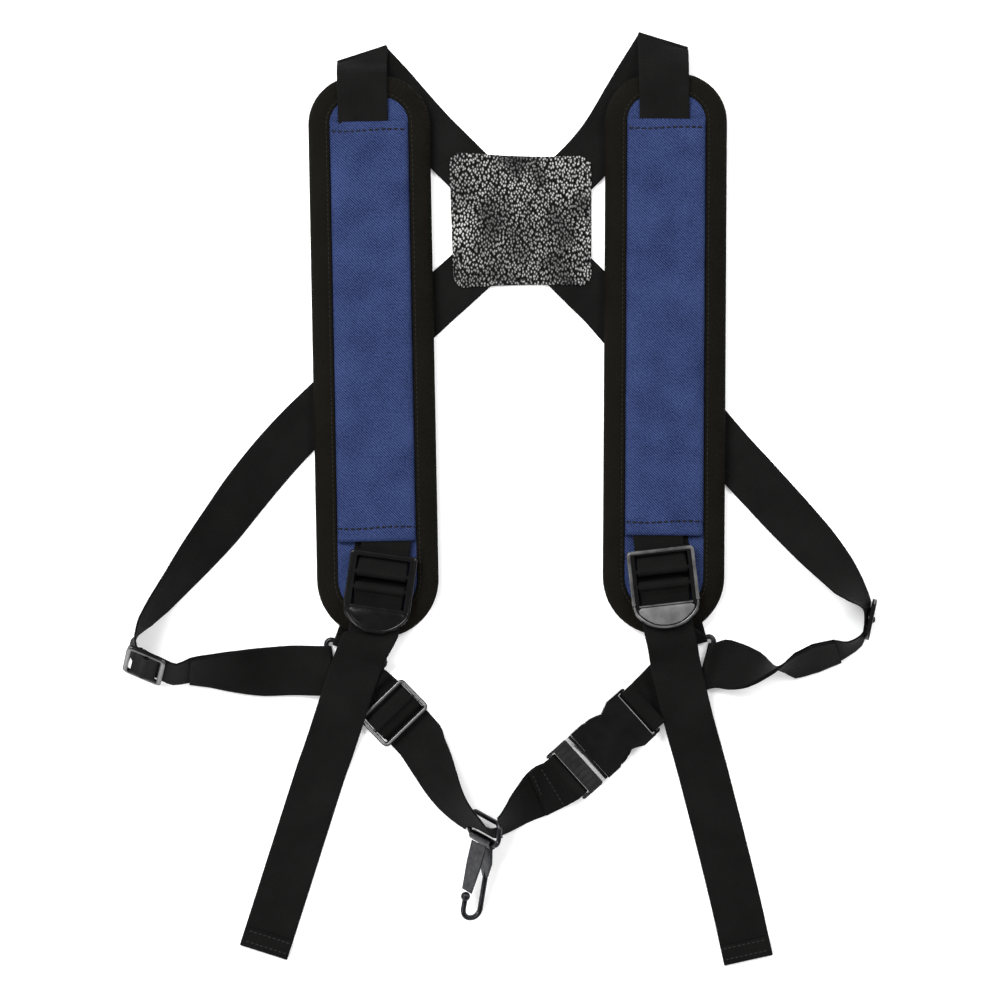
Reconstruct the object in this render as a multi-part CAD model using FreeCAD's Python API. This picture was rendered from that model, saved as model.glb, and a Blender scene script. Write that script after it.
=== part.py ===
import FreeCAD, Part
import math
import os

# Saxophone harness: two padded shoulder pads, crossing webbing straps, a leather back patch,
# side and front adjusters, a side-release buckle and a metal snap hook.
# Millimetres. The harness lies flat: +X to its right, +Y to its shoulder end, +Z up from the table.

Vector = FreeCAD.Vector
UP = Vector(0, 0, 1)

# Webbing
WEB_WIDTH = 32.0
WEB_THICK = 1.4
WEB_GAP = 0.15
TABLE_LAYER = 0.05 + WEB_THICK / 2
LAYER_STEP = WEB_THICK + 0.1

# Shoulder pads
PAD_WIDTH = 78.0
PAD_LENGTH = 360.0
PAD_TOP_CORNER = 31.0
PAD_LOW_CORNER = 37.5
PAD_BOTTOM = 2.6
PAD_THICK = 8.8
PAD_TOP = PAD_BOTTOM + PAD_THICK
BINDING_BAND = 13.8
BINDING_SKIN = 0.8
BINDING_WALL = 1.2
FACE_DROP = 0.4
SLEEVE_WIDTH = 49.5
SLEEVE_SKIN = 0.8
SLEEVE_HEADROOM = 3.6

# Each side: pad centre, pad tilt, sleeve ends measured from the pad's lower end
SIDES = {
    "left": {
        "pad": (-81.6, 90.0), "tilt": 1.1, "sleeve": (62.5, 330.0),
        "lock": (-74.6, -37.6), "lock_heading": -98.0, "anchor_x": -77.7, "top_x": -88.3,
        "crease": (-89.3, 285.0), "crease_angle": 18.0,
        "ring": (-96.6, -109.1), "ring_turn": 70.0,
    },
    "right": {
        "pad": (105.0, 91.8), "tilt": -0.33, "sleeve": (64.2, 330.2),
        "lock": (101.6, -34.6), "lock_heading": -83.5, "anchor_x": 104.0, "top_x": 104.6,
        "crease": (104.2, 293.6), "crease_angle": -17.0,
        "ring": (119.8, -106.0), "ring_turn": 105.0,
    },
}

# Back patch
PATCH_CENTRE = (13.1, 177.9)
PATCH_SIZE = (90.0, 86.0)
PATCH_CORNER = 8.0
PATCH_SKIN = 0.9

# Delta ring
RING_SIDE = 44.0
RING_WIRE = 1.6
RING_CORNER = 3.0
RING_Z = TABLE_LAYER + WEB_THICK / 2 + WEB_GAP + RING_WIRE

# Ladder lock
LOCK_WIDTH = 43.0
LOCK_WINDOW = 34.0
LOCK_LENGTH = 49.0
LOCK_BAR = 1.5
LOCK_BAR_Z = 16.4
LOCK_ANCHOR_BAR = 11.4
LOCK_GRIP_BAR = 21.0
LOCK_TAB_START = 32.6
LOCK_RAIL_LOW = 12.4
LOCK_RAIL_TOP = 17.9
LOAD_LAYER_Z = 12.3
TAIL_LAYER_Z = 14.05
ANCHOR_LOW_Z = 12.15
ANCHOR_TOP_Z = ANCHOR_LOW_Z + LAYER_STEP
HEM_CLEARANCE = 1.2

# Tri-glide slider
GLIDE_LENGTH = 26.5
GLIDE_WIDTH = 38.5
GLIDE_WINDOW = 33.6
GLIDE_RAIL = 3.0
GLIDE_THICK = 2.6
GLIDE_BAR = 1.3
GLIDE_UNDER = GLIDE_THICK / 2 + 0.35 + WEB_THICK / 2
GLIDES = {
    "left": {"centre": (-227.4, -107.0, 17.75), "azimuth": -23.0, "roll": 62.0},
    "right": {"centre": (235.6, -77.5, 19.6), "azimuth": -102.0, "roll": -84.0},
    "front": {"centre": (-68.8, -138.3, TABLE_LAYER + GLIDE_UNDER), "azimuth": -46.0, "roll": 0.0},
}

# Side-release buckle
BUCKLE_CENTRE = (65.6, -157.5)
BUCKLE_HEADING = 42.0
BUCKLE_Z = 6.4
BUCKLE_WIDTH = 37.0
BUCKLE_THICK = 10.0
BUCKLE_WINDOW = 33.4
LATCH_BAR = -31.0
SOCKET_BAR = 31.0
BUCKLE_BAR = 1.8
LATCH_LOOP = BUCKLE_BAR + WEB_GAP + WEB_THICK / 2
BAR_TO_BODY = LATCH_LOOP + WEB_THICK / 2 + 0.35
SOCKET_MOUTH = -12.0
ARM_ROOT = -11.8

# Snap hook
EYE_CENTRE = (-10.4, -211.0, 17.4)
EYE_AZIMUTH = -22.0
EYE_LIFT = 55.0
EYE_BAR = 36.0
EYE_REACH = 14.8
EYE_WIRE = 1.6
BAR_DROP = -EYE_REACH / 2
HOOK_HEADING = -99.0
HOOK_PITCH = -9.0
HOOK_SPREAD = 12.8
HOOK_LENGTH = 54.0
HOOK_WIRE = 1.75
SHANK_LENGTH = 25.0
GATE_TIP = 36.0
EYE_POINT = 9


# ---------------------------------------------------------------- webbing made of stations

def heading_frame(azimuth, pitch=0.0, roll=0.0):
    """Direction of travel, vector to the left edge and face normal."""
    a, p, r = (math.radians(v) for v in (azimuth, pitch, roll))
    along = Vector(math.cos(a) * math.cos(p), math.sin(a) * math.cos(p), math.sin(p))
    left = Vector(-math.sin(a), math.cos(a), 0)
    face = along.cross(left)
    return along, left * math.cos(r) + face * math.sin(r), face * math.cos(r) - left * math.sin(r)


def station(centre, across, normal):
    """One cross-section of webbing: centre, half width vector, half thickness vector."""
    return (Vector(*centre), across * (WEB_WIDTH / 2), normal * (WEB_THICK / 2))


def resting_height(roll):
    """Height of the webbing's middle when its lower edge rests on the table."""
    r = math.radians(roll)
    return 0.1 + abs(math.sin(r)) * WEB_WIDTH / 2 + abs(math.cos(r)) * WEB_THICK / 2


def route(points, flip=False, headings=None):
    """Stations along hand-placed (x, y, z, roll) points, with any fixed headings by index.

    A height of None rests the lower edge on the table.
    """
    fixed = {i % len(points): azimuth for i, azimuth in (headings or {}).items()}
    spots = [Vector(x, y, resting_height(roll) if z is None else z) for x, y, z, roll in points]
    result = []
    for i, point in enumerate(points):
        before = spots[max(i - 1, 0)]
        after = spots[min(i + 1, len(spots) - 1)]
        step_in = (spots[i] - before).normalize() if i else (after - spots[i]).normalize()
        step_out = (after - spots[i]).normalize() if i < len(spots) - 1 else step_in
        mean = step_in + step_out
        azimuth = fixed.get(i, math.degrees(math.atan2(mean.y, mean.x)))
        pitch = math.degrees(math.atan2(mean.z, math.hypot(mean.x, mean.y)))
        _, across, normal = heading_frame(azimuth, pitch, point[3])
        sign = -1 if flip else 1
        result.append(station(spots[i], across * sign, normal * sign))
    return result


def wrap(centre, inward, radius, across, angles, normal_sign):
    """Stations round a level bar. Angle -90 is under it, 0 on its inward side, 90 above it."""
    result = []
    for angle in angles:
        a = math.radians(angle)
        radial = inward * math.cos(a) + UP * math.sin(a)
        result.append(station(Vector(*centre) + radial * radius, across, radial * normal_sign))
    return result


def upward(normal):
    """Unit normal of the face that looks up."""
    return Vector(normal if normal.z >= 0 else normal * -1).normalize()


def second_layer(stations):
    """The same webbing one layer higher, travelled back the other way."""
    result = []
    for centre, across, normal in reversed(stations):
        lift = upward(normal) * LAYER_STEP
        result.append((centre + lift, across, normal * -1))
    return result


def flat_faces(a, b, c, d):
    """The four-sided patch a-b-c-d as one flat face, or as two triangles where it is twisted."""
    gap = abs((b - a).cross(c - a).dot(d - a))
    if gap < 1e-6:
        return [Part.Face(Part.makePolygon([a, b, c, d, a]))]
    return [Part.Face(Part.makePolygon([a, b, c, a])), Part.Face(Part.makePolygon([a, c, d, a]))]


def webbing(stations):
    """Closed ribbon through the stations."""
    sections = []
    for centre, across, normal in stations:
        sections.append([
            centre + across + normal,
            centre - across + normal,
            centre - across - normal,
            centre + across - normal,
        ])
    faces = flat_faces(*sections[0]) + flat_faces(*sections[-1])
    for near, far in zip(sections, sections[1:]):
        faces += flat_faces(near[0], near[1], far[1], far[0])
        faces += flat_faces(near[3], far[3], far[2], near[2])
        faces += flat_faces(near[1], near[2], far[2], far[1])
        faces += flat_faces(near[0], far[0], far[3], near[3])
    shell = Part.makeShell(faces)
    shell.sewShape()
    solid = Part.makeSolid(Part.makeShell(shell.Faces))
    return solid if solid.Volume > 0 else solid.reversed()


# ---------------------------------------------------------------- general shapes

def rounded_outline(x_low, x_high, y_low, y_high, low_corner, top_corner):
    """Closed wire of a rectangle whose lower and upper corners have their own radii."""
    half = math.sqrt(0.5)

    def corner(cx, cy, radius, sx, sy):
        ends = [Vector(cx + sx * radius, cy, 0), Vector(cx, cy + sy * radius, 0)]
        middle = Vector(cx + sx * radius * half, cy + sy * radius * half, 0)
        return ends, middle

    low, top = low_corner, top_corner
    (br, bl, tl, tr) = (
        corner(x_high - low, y_low + low, low, 1, -1),
        corner(x_low + low, y_low + low, low, -1, -1),
        corner(x_low + top, y_high - top, top, -1, 1),
        corner(x_high - top, y_high - top, top, 1, 1),
    )
    edges = [
        Part.LineSegment(bl[0][1], br[0][1]),
        Part.Arc(br[0][1], br[1], br[0][0]),
        Part.LineSegment(br[0][0], tr[0][0]),
        Part.Arc(tr[0][0], tr[1], tr[0][1]),
        Part.LineSegment(tr[0][1], tl[0][1]),
        Part.Arc(tl[0][1], tl[1], tl[0][0]),
        Part.LineSegment(tl[0][0], bl[0][0]),
        Part.Arc(bl[0][0], bl[1], bl[0][1]),
    ]
    return Part.Wire([edge.toShape() for edge in edges])


def prism(wire, z_low, z_high):
    """Solid of a flat wire between two heights."""
    solid = Part.Face(wire).extrude(Vector(0, 0, z_high - z_low))
    solid.translate(Vector(0, 0, z_low))
    return solid


def rounded_block(x_low, x_high, y_low, y_high, z_low, z_high, radius):
    """Block with rounded upright corners."""
    return prism(rounded_outline(x_low, x_high, y_low, y_high, radius, radius), z_low, z_high)


def round_bar(start, end, radius):
    """Cylinder between two points."""
    start, end = Vector(*start), Vector(*end)
    return Part.makeCylinder(radius, (end - start).Length, start, end - start)


def polygon_prism(points, axis, start, length):
    """Prism of a polygon drawn in the plane across an axis, 'x' or 'y'."""
    if axis == "x":
        corners = [Vector(start, a, b) for a, b in points]
        direction = Vector(length, 0, 0)
    else:
        corners = [Vector(a, start, b) for a, b in points]
        direction = Vector(0, length, 0)
    return Part.Face(Part.makePolygon(corners + corners[:1])).extrude(direction)


def placed(shape, origin, x_axis, y_axis):
    """Move a shape drawn about the origin so that its X and Y axes take the given directions."""
    x_axis = Vector(x_axis).normalize()
    z_axis = x_axis.cross(y_axis).normalize()
    y_axis = z_axis.cross(x_axis)
    matrix = FreeCAD.Matrix(
        x_axis.x, y_axis.x, z_axis.x, origin[0],
        x_axis.y, y_axis.y, z_axis.y, origin[1],
        x_axis.z, y_axis.z, z_axis.z, origin[2],
        0, 0, 0, 1,
    )
    moved = shape.copy()
    moved.Placement = FreeCAD.Placement(matrix).multiply(shape.Placement)
    return moved


def rounded_wire_loop(corners, corner_radius, wire_radius):
    """Round wire bent into a closed polygon with rounded corners, in the XY plane."""
    count = len(corners)
    points = [Vector(x, y, 0) for x, y in corners]
    bends = []
    for i, point in enumerate(points):
        to_before = (points[i - 1] - point).normalize()
        to_after = (points[(i + 1) % count] - point).normalize()
        half_angle = to_before.getAngle(to_after) / 2
        reach = corner_radius / math.tan(half_angle)
        inward = (to_before + to_after).normalize()
        depth = corner_radius / math.sin(half_angle) - corner_radius
        bends.append((point + to_before * reach, point + inward * depth, point + to_after * reach))
    seam = (bends[-1][2] + bends[0][0]) * 0.5
    edges = []
    last = seam
    for bend in bends:
        edges.append(Part.LineSegment(last, bend[0]).toShape())
        edges.append(Part.Arc(*bend).toShape())
        last = bend[2]
    edges.append(Part.LineSegment(last, seam).toShape())
    profile = Part.Wire(Part.makeCircle(wire_radius, seam, bends[0][0] - seam))
    return Part.Wire(edges).makePipeShell([profile], True, True)


# ---------------------------------------------------------------- shoulder pads

def pad_outline(inset):
    """Pad outline in pad coordinates, origin at the middle of its lower end."""
    half = PAD_WIDTH / 2 - inset
    return rounded_outline(
        -half, half, inset, PAD_LENGTH - inset, PAD_LOW_CORNER - inset, PAD_TOP_CORNER - inset
    )


def pad_place(side, shape):
    """Turn and move a shape from pad coordinates to its place in the harness."""
    x, y = SIDES[side]["pad"]
    moved = shape.copy()
    moved.translate(Vector(0, -PAD_LENGTH / 2, 0))
    moved.rotate(Vector(0, 0, 0), UP, SIDES[side]["tilt"])
    moved.translate(Vector(x, y, 0))
    return moved


def pad_binding():
    """Edge binding: a C-shaped tape folded round the pad's edge."""
    whole = prism(pad_outline(0), PAD_BOTTOM, PAD_TOP)
    filling = prism(pad_outline(BINDING_WALL), PAD_BOTTOM + BINDING_SKIN, PAD_TOP - BINDING_SKIN)
    window = prism(pad_outline(BINDING_BAND), PAD_BOTTOM - 1, PAD_TOP + 1)
    return whole.cut(filling).cut(window)


def pad_layers():
    """Backing mesh, foam core and face fabric, stacked inside the binding."""
    outline = pad_outline(BINDING_WALL)
    low = PAD_BOTTOM + BINDING_SKIN
    top = PAD_TOP - BINDING_SKIN
    backing_top = low + 1.0
    foam_top = top - 1.0
    window = prism(pad_outline(BINDING_BAND + 0.1), top, PAD_TOP - FACE_DROP)
    return {
        "pad_backing": prism(outline, low, backing_top),
        "pad_foam": prism(outline, backing_top, foam_top),
        "pad_face": prism(outline, foam_top, top).fuse(window).removeSplitter(),
    }


def pad_sleeve(start, end):
    """Fabric tunnel sewn over the face, open at both ends, that holds the webbing."""
    low = PAD_TOP - FACE_DROP
    inner_top = low + SLEEVE_HEADROOM
    edge = SLEEVE_WIDTH / 2
    flat = WEB_WIDTH / 2 + 6.4
    profile = [
        (-edge, low), (-edge, low + SLEEVE_SKIN), (-flat - 0.5, inner_top + SLEEVE_SKIN),
        (flat + 0.5, inner_top + SLEEVE_SKIN), (edge, low + SLEEVE_SKIN), (edge, low),
        (edge - 1.4, low), (flat, inner_top), (-flat, inner_top), (-edge + 1.4, low),
    ]
    return polygon_prism(profile, "y", start, end - start)


# ---------------------------------------------------------------- delta ring

def delta_ring(side):
    """Triangular wire ring that joins the pad, side and front webbing."""
    data = SIDES[side]
    reach = RING_SIDE / math.sqrt(3)
    corners = []
    for k in range(3):
        angle = math.radians(data["ring_turn"] + 60 + 120 * k)
        corners.append((reach * math.cos(angle), reach * math.sin(angle)))
    ring = rounded_wire_loop(corners, RING_CORNER, RING_WIRE)
    ring.translate(Vector(data["ring"][0], data["ring"][1], RING_Z))
    return ring


def ring_side(side, number):
    """Middle of one ring side and the unit vector from the ring centre to it."""
    data = SIDES[side]
    angle = math.radians(data["ring_turn"] + 120 * number)
    outward = Vector(math.cos(angle), math.sin(angle), 0)
    reach = RING_SIDE / (2 * math.sqrt(3))
    middle = Vector(data["ring"][0], data["ring"][1], RING_Z) + outward * reach
    return middle, outward


def ring_wrap(side, number, across, normal, from_below=True):
    """Webbing round a ring side, entering below (or above) and leaving on the other side."""
    middle, outward = ring_side(side, number)
    level = outward.cross(UP)
    if level.dot(across) < 0:
        level = level * -1
    radius = RING_WIRE + WEB_GAP + WEB_THICK / 2
    angles = list(range(-90, 91, 30))
    if not from_below:
        angles.reverse()
    first = -UP if from_below else UP
    sign = 1 if normal.dot(first) > 0 else -1
    return wrap(middle, outward * -1, radius, level, angles, sign)


# ---------------------------------------------------------------- ladder locks

def lock_point(side, along, height, aside=0.0):
    """Point in a ladder lock: distance from its top bar, height and offset to its left."""
    data = SIDES[side]
    forward, left, _ = heading_frame(data["lock_heading"])
    return Vector(data["lock"][0], data["lock"][1], 0) + forward * along + left * aside + UP * height


def lock_stations(side, places):
    """Stations in a lock from (along, height, pitch) with the webbing level across."""
    data = SIDES[side]
    result = []
    for along, height, pitch in places:
        _, across, normal = heading_frame(data["lock_heading"], pitch)
        result.append(station(lock_point(side, along, height), across, normal))
    return result


def bar_arc(bar, first, last, count):
    """(along, height, pitch) round a lock bar: -90 under it, 0 on its far side, 90 over it."""
    radius = LOCK_BAR + WEB_GAP + WEB_THICK / 2
    places = []
    for i in range(count):
        angle = first + (last - first) * i / (count - 1)
        a = math.radians(angle)
        pitch = angle + 90 if last > first else angle - 90
        places.append((bar + radius * math.cos(a), LOCK_BAR_Z + radius * math.sin(a), pitch))
    return places


def lock_frame(side):
    """Ladder lock: side rails, three round bars and the pull tab."""
    half = LOCK_WIDTH / 2
    window = LOCK_WINDOW / 2
    rail_end = LOCK_TAB_START + 2
    shape = rounded_block(-1.8, rail_end + 2, window, half, LOCK_RAIL_LOW, LOCK_RAIL_TOP, 1.6)
    shape = shape.fuse(shape.mirror(Vector(0, 0, 0), Vector(0, 1, 0)))
    reach = window + 1
    for bar in (0, LOCK_ANCHOR_BAR, LOCK_GRIP_BAR):
        shape = shape.fuse(round_bar((bar, -reach, LOCK_BAR_Z), (bar, reach, LOCK_BAR_Z), LOCK_BAR))
    low = LOCK_BAR_Z - LOCK_BAR
    tab_shape = [
        (LOCK_TAB_START, -half), (LOCK_TAB_START, half), (rail_end + 2, half),
        (rail_end + 9, half - 5.5), (LOCK_LENGTH, 6.0), (LOCK_LENGTH, -6.0),
        (rail_end + 9, -half + 5.5), (rail_end + 2, -half),
    ]
    corners = [Vector(x, y, low) for x, y in tab_shape]
    tab = Part.Face(Part.makePolygon(corners + corners[:1])).extrude(Vector(0, 0, LOCK_RAIL_TOP - low + 0.8))
    shape = shape.fuse(tab).removeSplitter()
    forward, left, _ = heading_frame(SIDES[side]["lock_heading"])
    return placed(shape, (*SIDES[side]["lock"], 0), forward, left)


def anchor_loop(side):
    """Short webbing from the sleeve, round the lock's first bar and back into the sleeve."""
    hem = -hem_distance(side) + HEM_CLEARANCE
    places = [(hem, ANCHOR_LOW_Z, 0), (4.8, ANCHOR_LOW_Z, 8)]
    places += bar_arc(LOCK_ANCHOR_BAR, -80, 140, 8)
    places += [(3.0, ANCHOR_TOP_Z + 0.1, 190), (-1.0, ANCHOR_TOP_Z, 180), (hem, ANCHOR_TOP_Z, 180)]
    stations = lock_stations(side, places)
    hem_line = Vector(WEB_WIDTH / 2, 0, 0)
    for i in (0, -1):
        centre, _, normal = stations[i]
        stations[i] = (centre, hem_line, normal)
    return webbing(stations)


def hem_distance(side):
    """Distance along the lock's axis from its top bar back to the sleeve's lower hem."""
    hem_y = SIDES[side]["pad"][1] - PAD_LENGTH / 2 + SIDES[side]["sleeve"][0]
    return hem_y - SIDES[side]["lock"][1]


def anchor_tongue(side):
    """Two layers of the anchor webbing sewn inside the sleeve."""
    data = SIDES[side]
    hem_y = data["pad"][1] - PAD_LENGTH / 2 + data["sleeve"][0]
    low = ANCHOR_LOW_Z - WEB_THICK / 2
    top = ANCHOR_TOP_Z + WEB_THICK / 2
    half = WEB_WIDTH / 2
    return Part.makeBox(WEB_WIDTH, 30, top - low, Vector(data["anchor_x"] - half, hem_y + 0.3, low))


def adjuster_bight(side):
    """Webbing under the tab, round the grip bar and back out over itself."""
    end = LOCK_LENGTH + 0.6
    places = [(end, LOAD_LAYER_Z, 180), (28.0, LOAD_LAYER_Z, 176)]
    places += bar_arc(LOCK_GRIP_BAR, -100, -350, 10)
    places += [(29.0, TAIL_LAYER_Z + 0.1, -8), (end, TAIL_LAYER_Z, 0)]
    return webbing(lock_stations(side, places))


def adjuster_load_end(side):
    """Webbing from under the lock down to the ring, round it and sewn back under."""
    data = SIDES[side]
    start = lock_point(side, LOCK_LENGTH + 1.0, LOAD_LAYER_Z)
    middle, outward = ring_side(side, 0)
    radius = RING_WIRE + WEB_GAP + WEB_THICK / 2
    over = middle + UP * radius
    ring_heading = math.degrees(math.atan2(-outward.y, -outward.x))
    blend_point = (start + over) * 0.5
    blend_point.z = LOAD_LAYER_Z - 0.3
    middle_heading = (data["lock_heading"] + ring_heading) / 2
    stations = route(
        [(*start, 0), (*blend_point, 0), (*over, 0)],
        headings={0: data["lock_heading"], 1: middle_heading, 2: ring_heading},
    )
    across, normal = stations[-1][1], stations[-1][2]
    stations = stations[:-1] + ring_wrap(side, 0, across, normal, from_below=False)
    stub = middle - UP * radius + outward * 14
    stations.append((stub, stations[-1][1], stations[-1][2]))
    return webbing(stations)


# ---------------------------------------------------------------- long straps

def crease_stations(side):
    """Slanted fold beyond the pad's end where the strap turns back underneath."""
    data = SIDES[side]
    x, y = data["crease"]
    angle = math.radians(data["crease_angle"])
    line = Vector(-math.cos(angle), -math.sin(angle), 0)
    outward = Vector(-math.sin(angle), math.cos(angle), 0)
    half = WEB_WIDTH / 2 / math.cos(angle)
    low, high = TABLE_LAYER, TABLE_LAYER + LAYER_STEP + 0.1
    middle = (low + high) / 2
    thick = WEB_THICK / 2
    return [
        (Vector(x, y, high) - outward * 1.5, line * half, UP * thick),
        (Vector(x, y, middle) + outward * 0.2, line * half, outward * thick),
        (Vector(x, y, low) - outward * 1.5, line * half, UP * -thick),
    ]


def sleeve_run(side):
    """The strap's first stretch: inside the sleeve, over the face and down to the fold."""
    data = SIDES[side]
    pad_end = data["pad"][1] + PAD_LENGTH / 2
    level = PAD_TOP + 0.1 + WEB_THICK / 2
    hem = pad_end - PAD_LENGTH + data["sleeve"][1]
    x = data["top_x"]
    lean = data["crease"][0] - x
    return route([
        (x - lean, hem - 90, level - FACE_DROP, 0),
        (x, hem + 2, level, 0),
        (x + lean * 0.8, pad_end + 1.2, level + 0.1, 0),
        (data["crease"][0], data["crease"][1] - 6.5, 5.4, 0),
    ], headings={0: 90, -1: 90})


def side_route_left():
    """Strap from the right shoulder to the left ring: points (x, y, z, roll)."""
    low = TABLE_LAYER
    cross = low + PATCH_SKIN + LAYER_STEP + 0.1
    inner = low + PATCH_SKIN + 0.1
    return [
        (84.0, 260.5, low, 0), (67.8, 233.3, low, 0), (56.0, 218.3, inner, 0), (41.0, 203.2, inner, 0),
        (34.5, 196.7, inner, 0), (25.5, 187.8, cross, 0), (13.4, 175.7, cross, 0),
        (1.2, 164.5, cross, 0), (-8.4, 155.6, inner, 0), (-31.0, 135.0, inner, 0), (-43.5, 123.8, low, 0),
        (-120.8, 52.2, low, 0), (-142.7, 29.1, None, -8), (-162.6, 4.8, None, -17),
        (-180.5, -19.5, None, -30), (-194.5, -37.5, None, -43), (-206.7, -53.4, None, -56),
        (-218.6, -68.5, None, -66), (-227.2, -79.6, None, -77), (-232.0, -87.4, None, -90),
        (-234.2, -93.0, None, -102), (-233.4, -97.6, None, -112),
    ]


def side_route_right():
    """Strap from the left shoulder to the right ring: points (x, y, z, roll)."""
    low = TABLE_LAYER
    inner = low + PATCH_SKIN + 0.1
    return [
        (-66.0, 257.6, low, 0), (-46.0, 235.0, low, 0), (-33.5, 222.4, inner, 0), (13.4, 175.7, inner, 0),
        (56.0, 133.3, inner, 0), (67.5, 121.9, low, 0), (144.3, 31.7, low, 0), (161.9, 12.5, None, -2),
        (183.6, -11.2, None, -8), (200.3, -29.5, None, -19), (214.6, -46.2, None, -36),
        (222.4, -56.6, None, -48), (229.2, -66.2, None, -64),
    ]


def glide_axes(name):
    """Heading, across and face directions of a slider, which looks up and outward."""
    data = GLIDES[name]
    return heading_frame(data["azimuth"], 0, data["roll"])


def under_glide(name, along, extra=0.0):
    """Point in the webbing that passes behind a slider."""
    forward, _, normal = glide_axes(name)
    return Vector(*GLIDES[name]["centre"]) + forward * along - normal * (GLIDE_UNDER + extra)


def left_return():
    """Left strap from behind the slider to the ring."""
    behind = [(*under_glide("left", -4.0, 0.9), -117.0)]
    behind += [(*under_glide("left", a), -118.0) for a in (9.0, 20.0)]
    return behind + [
        (-199.0, -110.5, None, -121), (-185.0, -110.2, None, -132), (-169.0, -110.9, None, -148),
        (-151.7, -111.6, None, -168), (-134.0, -111.0, TABLE_LAYER, -180),
        (-120.0, -111.2, TABLE_LAYER, -180),
    ]


def right_return():
    """Right strap from behind the slider to the ring."""
    behind = [(*under_glide("right", -3.0, 1.3), -83.0), (*under_glide("right", 7.0), -84.0)]
    return behind + [
        (226.2, -93.2, None, -72), (214.8, -97.6, None, -60), (201.0, -102.0, None, -54),
        (187.5, -106.8, None, -60), (174.5, -110.0, None, -92), (162.0, -110.6, None, -130),
        (150.6, -108.8, None, -159), (141.4, -106.8, TABLE_LAYER, -180),
    ]


def side_strap(side):
    """Whole side strap: sleeve, fold, patch, side slider, ring and back as a second layer."""
    first = crease_stations(side)
    if side == "left":
        approach, back, number = side_route_right(), right_return(), 2
        ring = "right"
    else:
        approach, back, number = side_route_left(), left_return(), 1
        ring = "left"
    lower = route(approach + back, flip=True)
    middle, outward = ring_side(ring, number)
    radius = RING_WIRE + WEB_GAP + WEB_THICK / 2
    across, normal = lower[-1][1], lower[-1][2]
    around = ring_wrap(ring, number, across, normal)
    near = second_layer(lower[len(approach) + 3:])
    lift = Vector(0, 0, 1.6)
    near[0] = (near[0][0] + lift * 1.4, near[0][1], near[0][2])
    near[1] = (near[1][0] + lift * 0.5, near[1][1], near[1][2])
    return webbing(sleeve_run(side) + first + lower + around + near)


# ---------------------------------------------------------------- back patch

def patch_leather(z_low):
    """One leather square of the back patch."""
    x, y = PATCH_CENTRE
    w, h = PATCH_SIZE
    return rounded_block(x - w / 2, x + w / 2, y - h / 2, y + h / 2, z_low, z_low + PATCH_SKIN, PATCH_CORNER)


# ---------------------------------------------------------------- sliders

def glide_frame():
    """Tri-glide in its own axes: X along the webbing, Y across, Z out of its face."""
    half_l = GLIDE_LENGTH / 2
    half_w = GLIDE_WIDTH / 2
    half_t = GLIDE_THICK / 2
    window_l = half_l - GLIDE_RAIL
    window_w = GLIDE_WINDOW / 2
    body = rounded_block(-half_l, half_l, -half_w, half_w, -half_t, half_t, 4.0)
    window = rounded_block(-window_l, window_l, -window_w, window_w, -half_t - 1, half_t + 1, 1.5)
    bar = round_bar((0, -window_w - 1, 0), (0, window_w + 1, 0), GLIDE_BAR)
    return body.cut(window).fuse(bar).removeSplitter()


def glide_bight():
    """Webbing arched over the slider's middle bar, in the slider's axes."""
    radius = GLIDE_BAR + WEB_GAP + WEB_THICK / 2
    half = WEB_WIDTH / 2
    thick = WEB_THICK / 2
    foot = GLIDE_LENGTH / 2 - GLIDE_RAIL - 2.2
    stations = [(Vector(-foot, 0, -0.3), Vector(0, half, 0), Vector(-0.5, 0, 0.87) * thick)]
    for angle in (150, 120, 90, 60, 30):
        a = math.radians(angle)
        radial = Vector(math.cos(a), 0, math.sin(a))
        stations.append((radial * radius, Vector(0, half, 0), radial * thick))
    stations.append((Vector(foot, 0, -0.3), Vector(0, half, 0), Vector(0.5, 0, 0.87) * thick))
    return webbing(stations)


def glide_placed(name, shape):
    """Put a slider piece in its place."""
    forward, across, _ = glide_axes(name)
    return placed(shape, GLIDES[name]["centre"], forward, across)


# ---------------------------------------------------------------- front strap and buckle

def front_strap():
    """Webbing from the left ring, under the front slider, through the hook's eye to the latch."""
    middle, outward = ring_side("left", 2)
    radius = RING_WIRE + WEB_GAP + WEB_THICK / 2
    low = middle - UP * radius
    forward, _, _ = glide_axes("front")
    slider = Vector(*GLIDES["front"]["centre"][:2], TABLE_LAYER)
    points = [
        (*(low + outward * 4), 0),
        (*(slider - forward * 14), 0), (*(slider + forward * 24), 0),
        (-48.4, -162.4, None, 20), (-43.0, -172.8, None, 30), (-38.0, -183.0, None, 40),
        (-32.6, -192.4, None, 50), (-26.6, -200.2, None, 58), (-19.8, -206.6, None, 64),
        (EYE_CENTRE[0], EYE_CENTRE[1] - 1.2, EYE_CENTRE[2] - 1.2, 64),
        (-1.2, -210.4, None, 66), (5.4, -205.6, None, 60), (11.0, -200.0, None, 50),
        (16.6, -194.8, None, 38),
        (22.6, -190.4, None, 20), (29.4, -186.6, None, 6), (*latch_entry(), 0),
    ]
    stations = route(points, headings={-1: BUCKLE_HEADING})
    stations[EYE_POINT:EYE_POINT + 1] = eye_stations(stations[EYE_POINT][0])
    across, normal = stations[0][1], stations[0][2]
    back = ring_wrap("left", 2, across, normal)
    back.reverse()
    upper = middle + UP * radius
    stub = (upper + outward * 8, back[0][1], back[0][2])
    loop_bar = latch_loop(stations[-1])
    return webbing([stub] + back + stations + loop_bar)


def eye_stations(centre):
    """The webbing where it passes through the hook's eye, in line with the eye bar."""
    bar, _, _ = hook_axes()
    travel = Vector(1, -0.05, 0)
    normal = travel.cross(bar).normalize()
    return [station(centre + travel * offset, bar, normal) for offset in (-3.0, 0.0, 3.0)]


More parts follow.
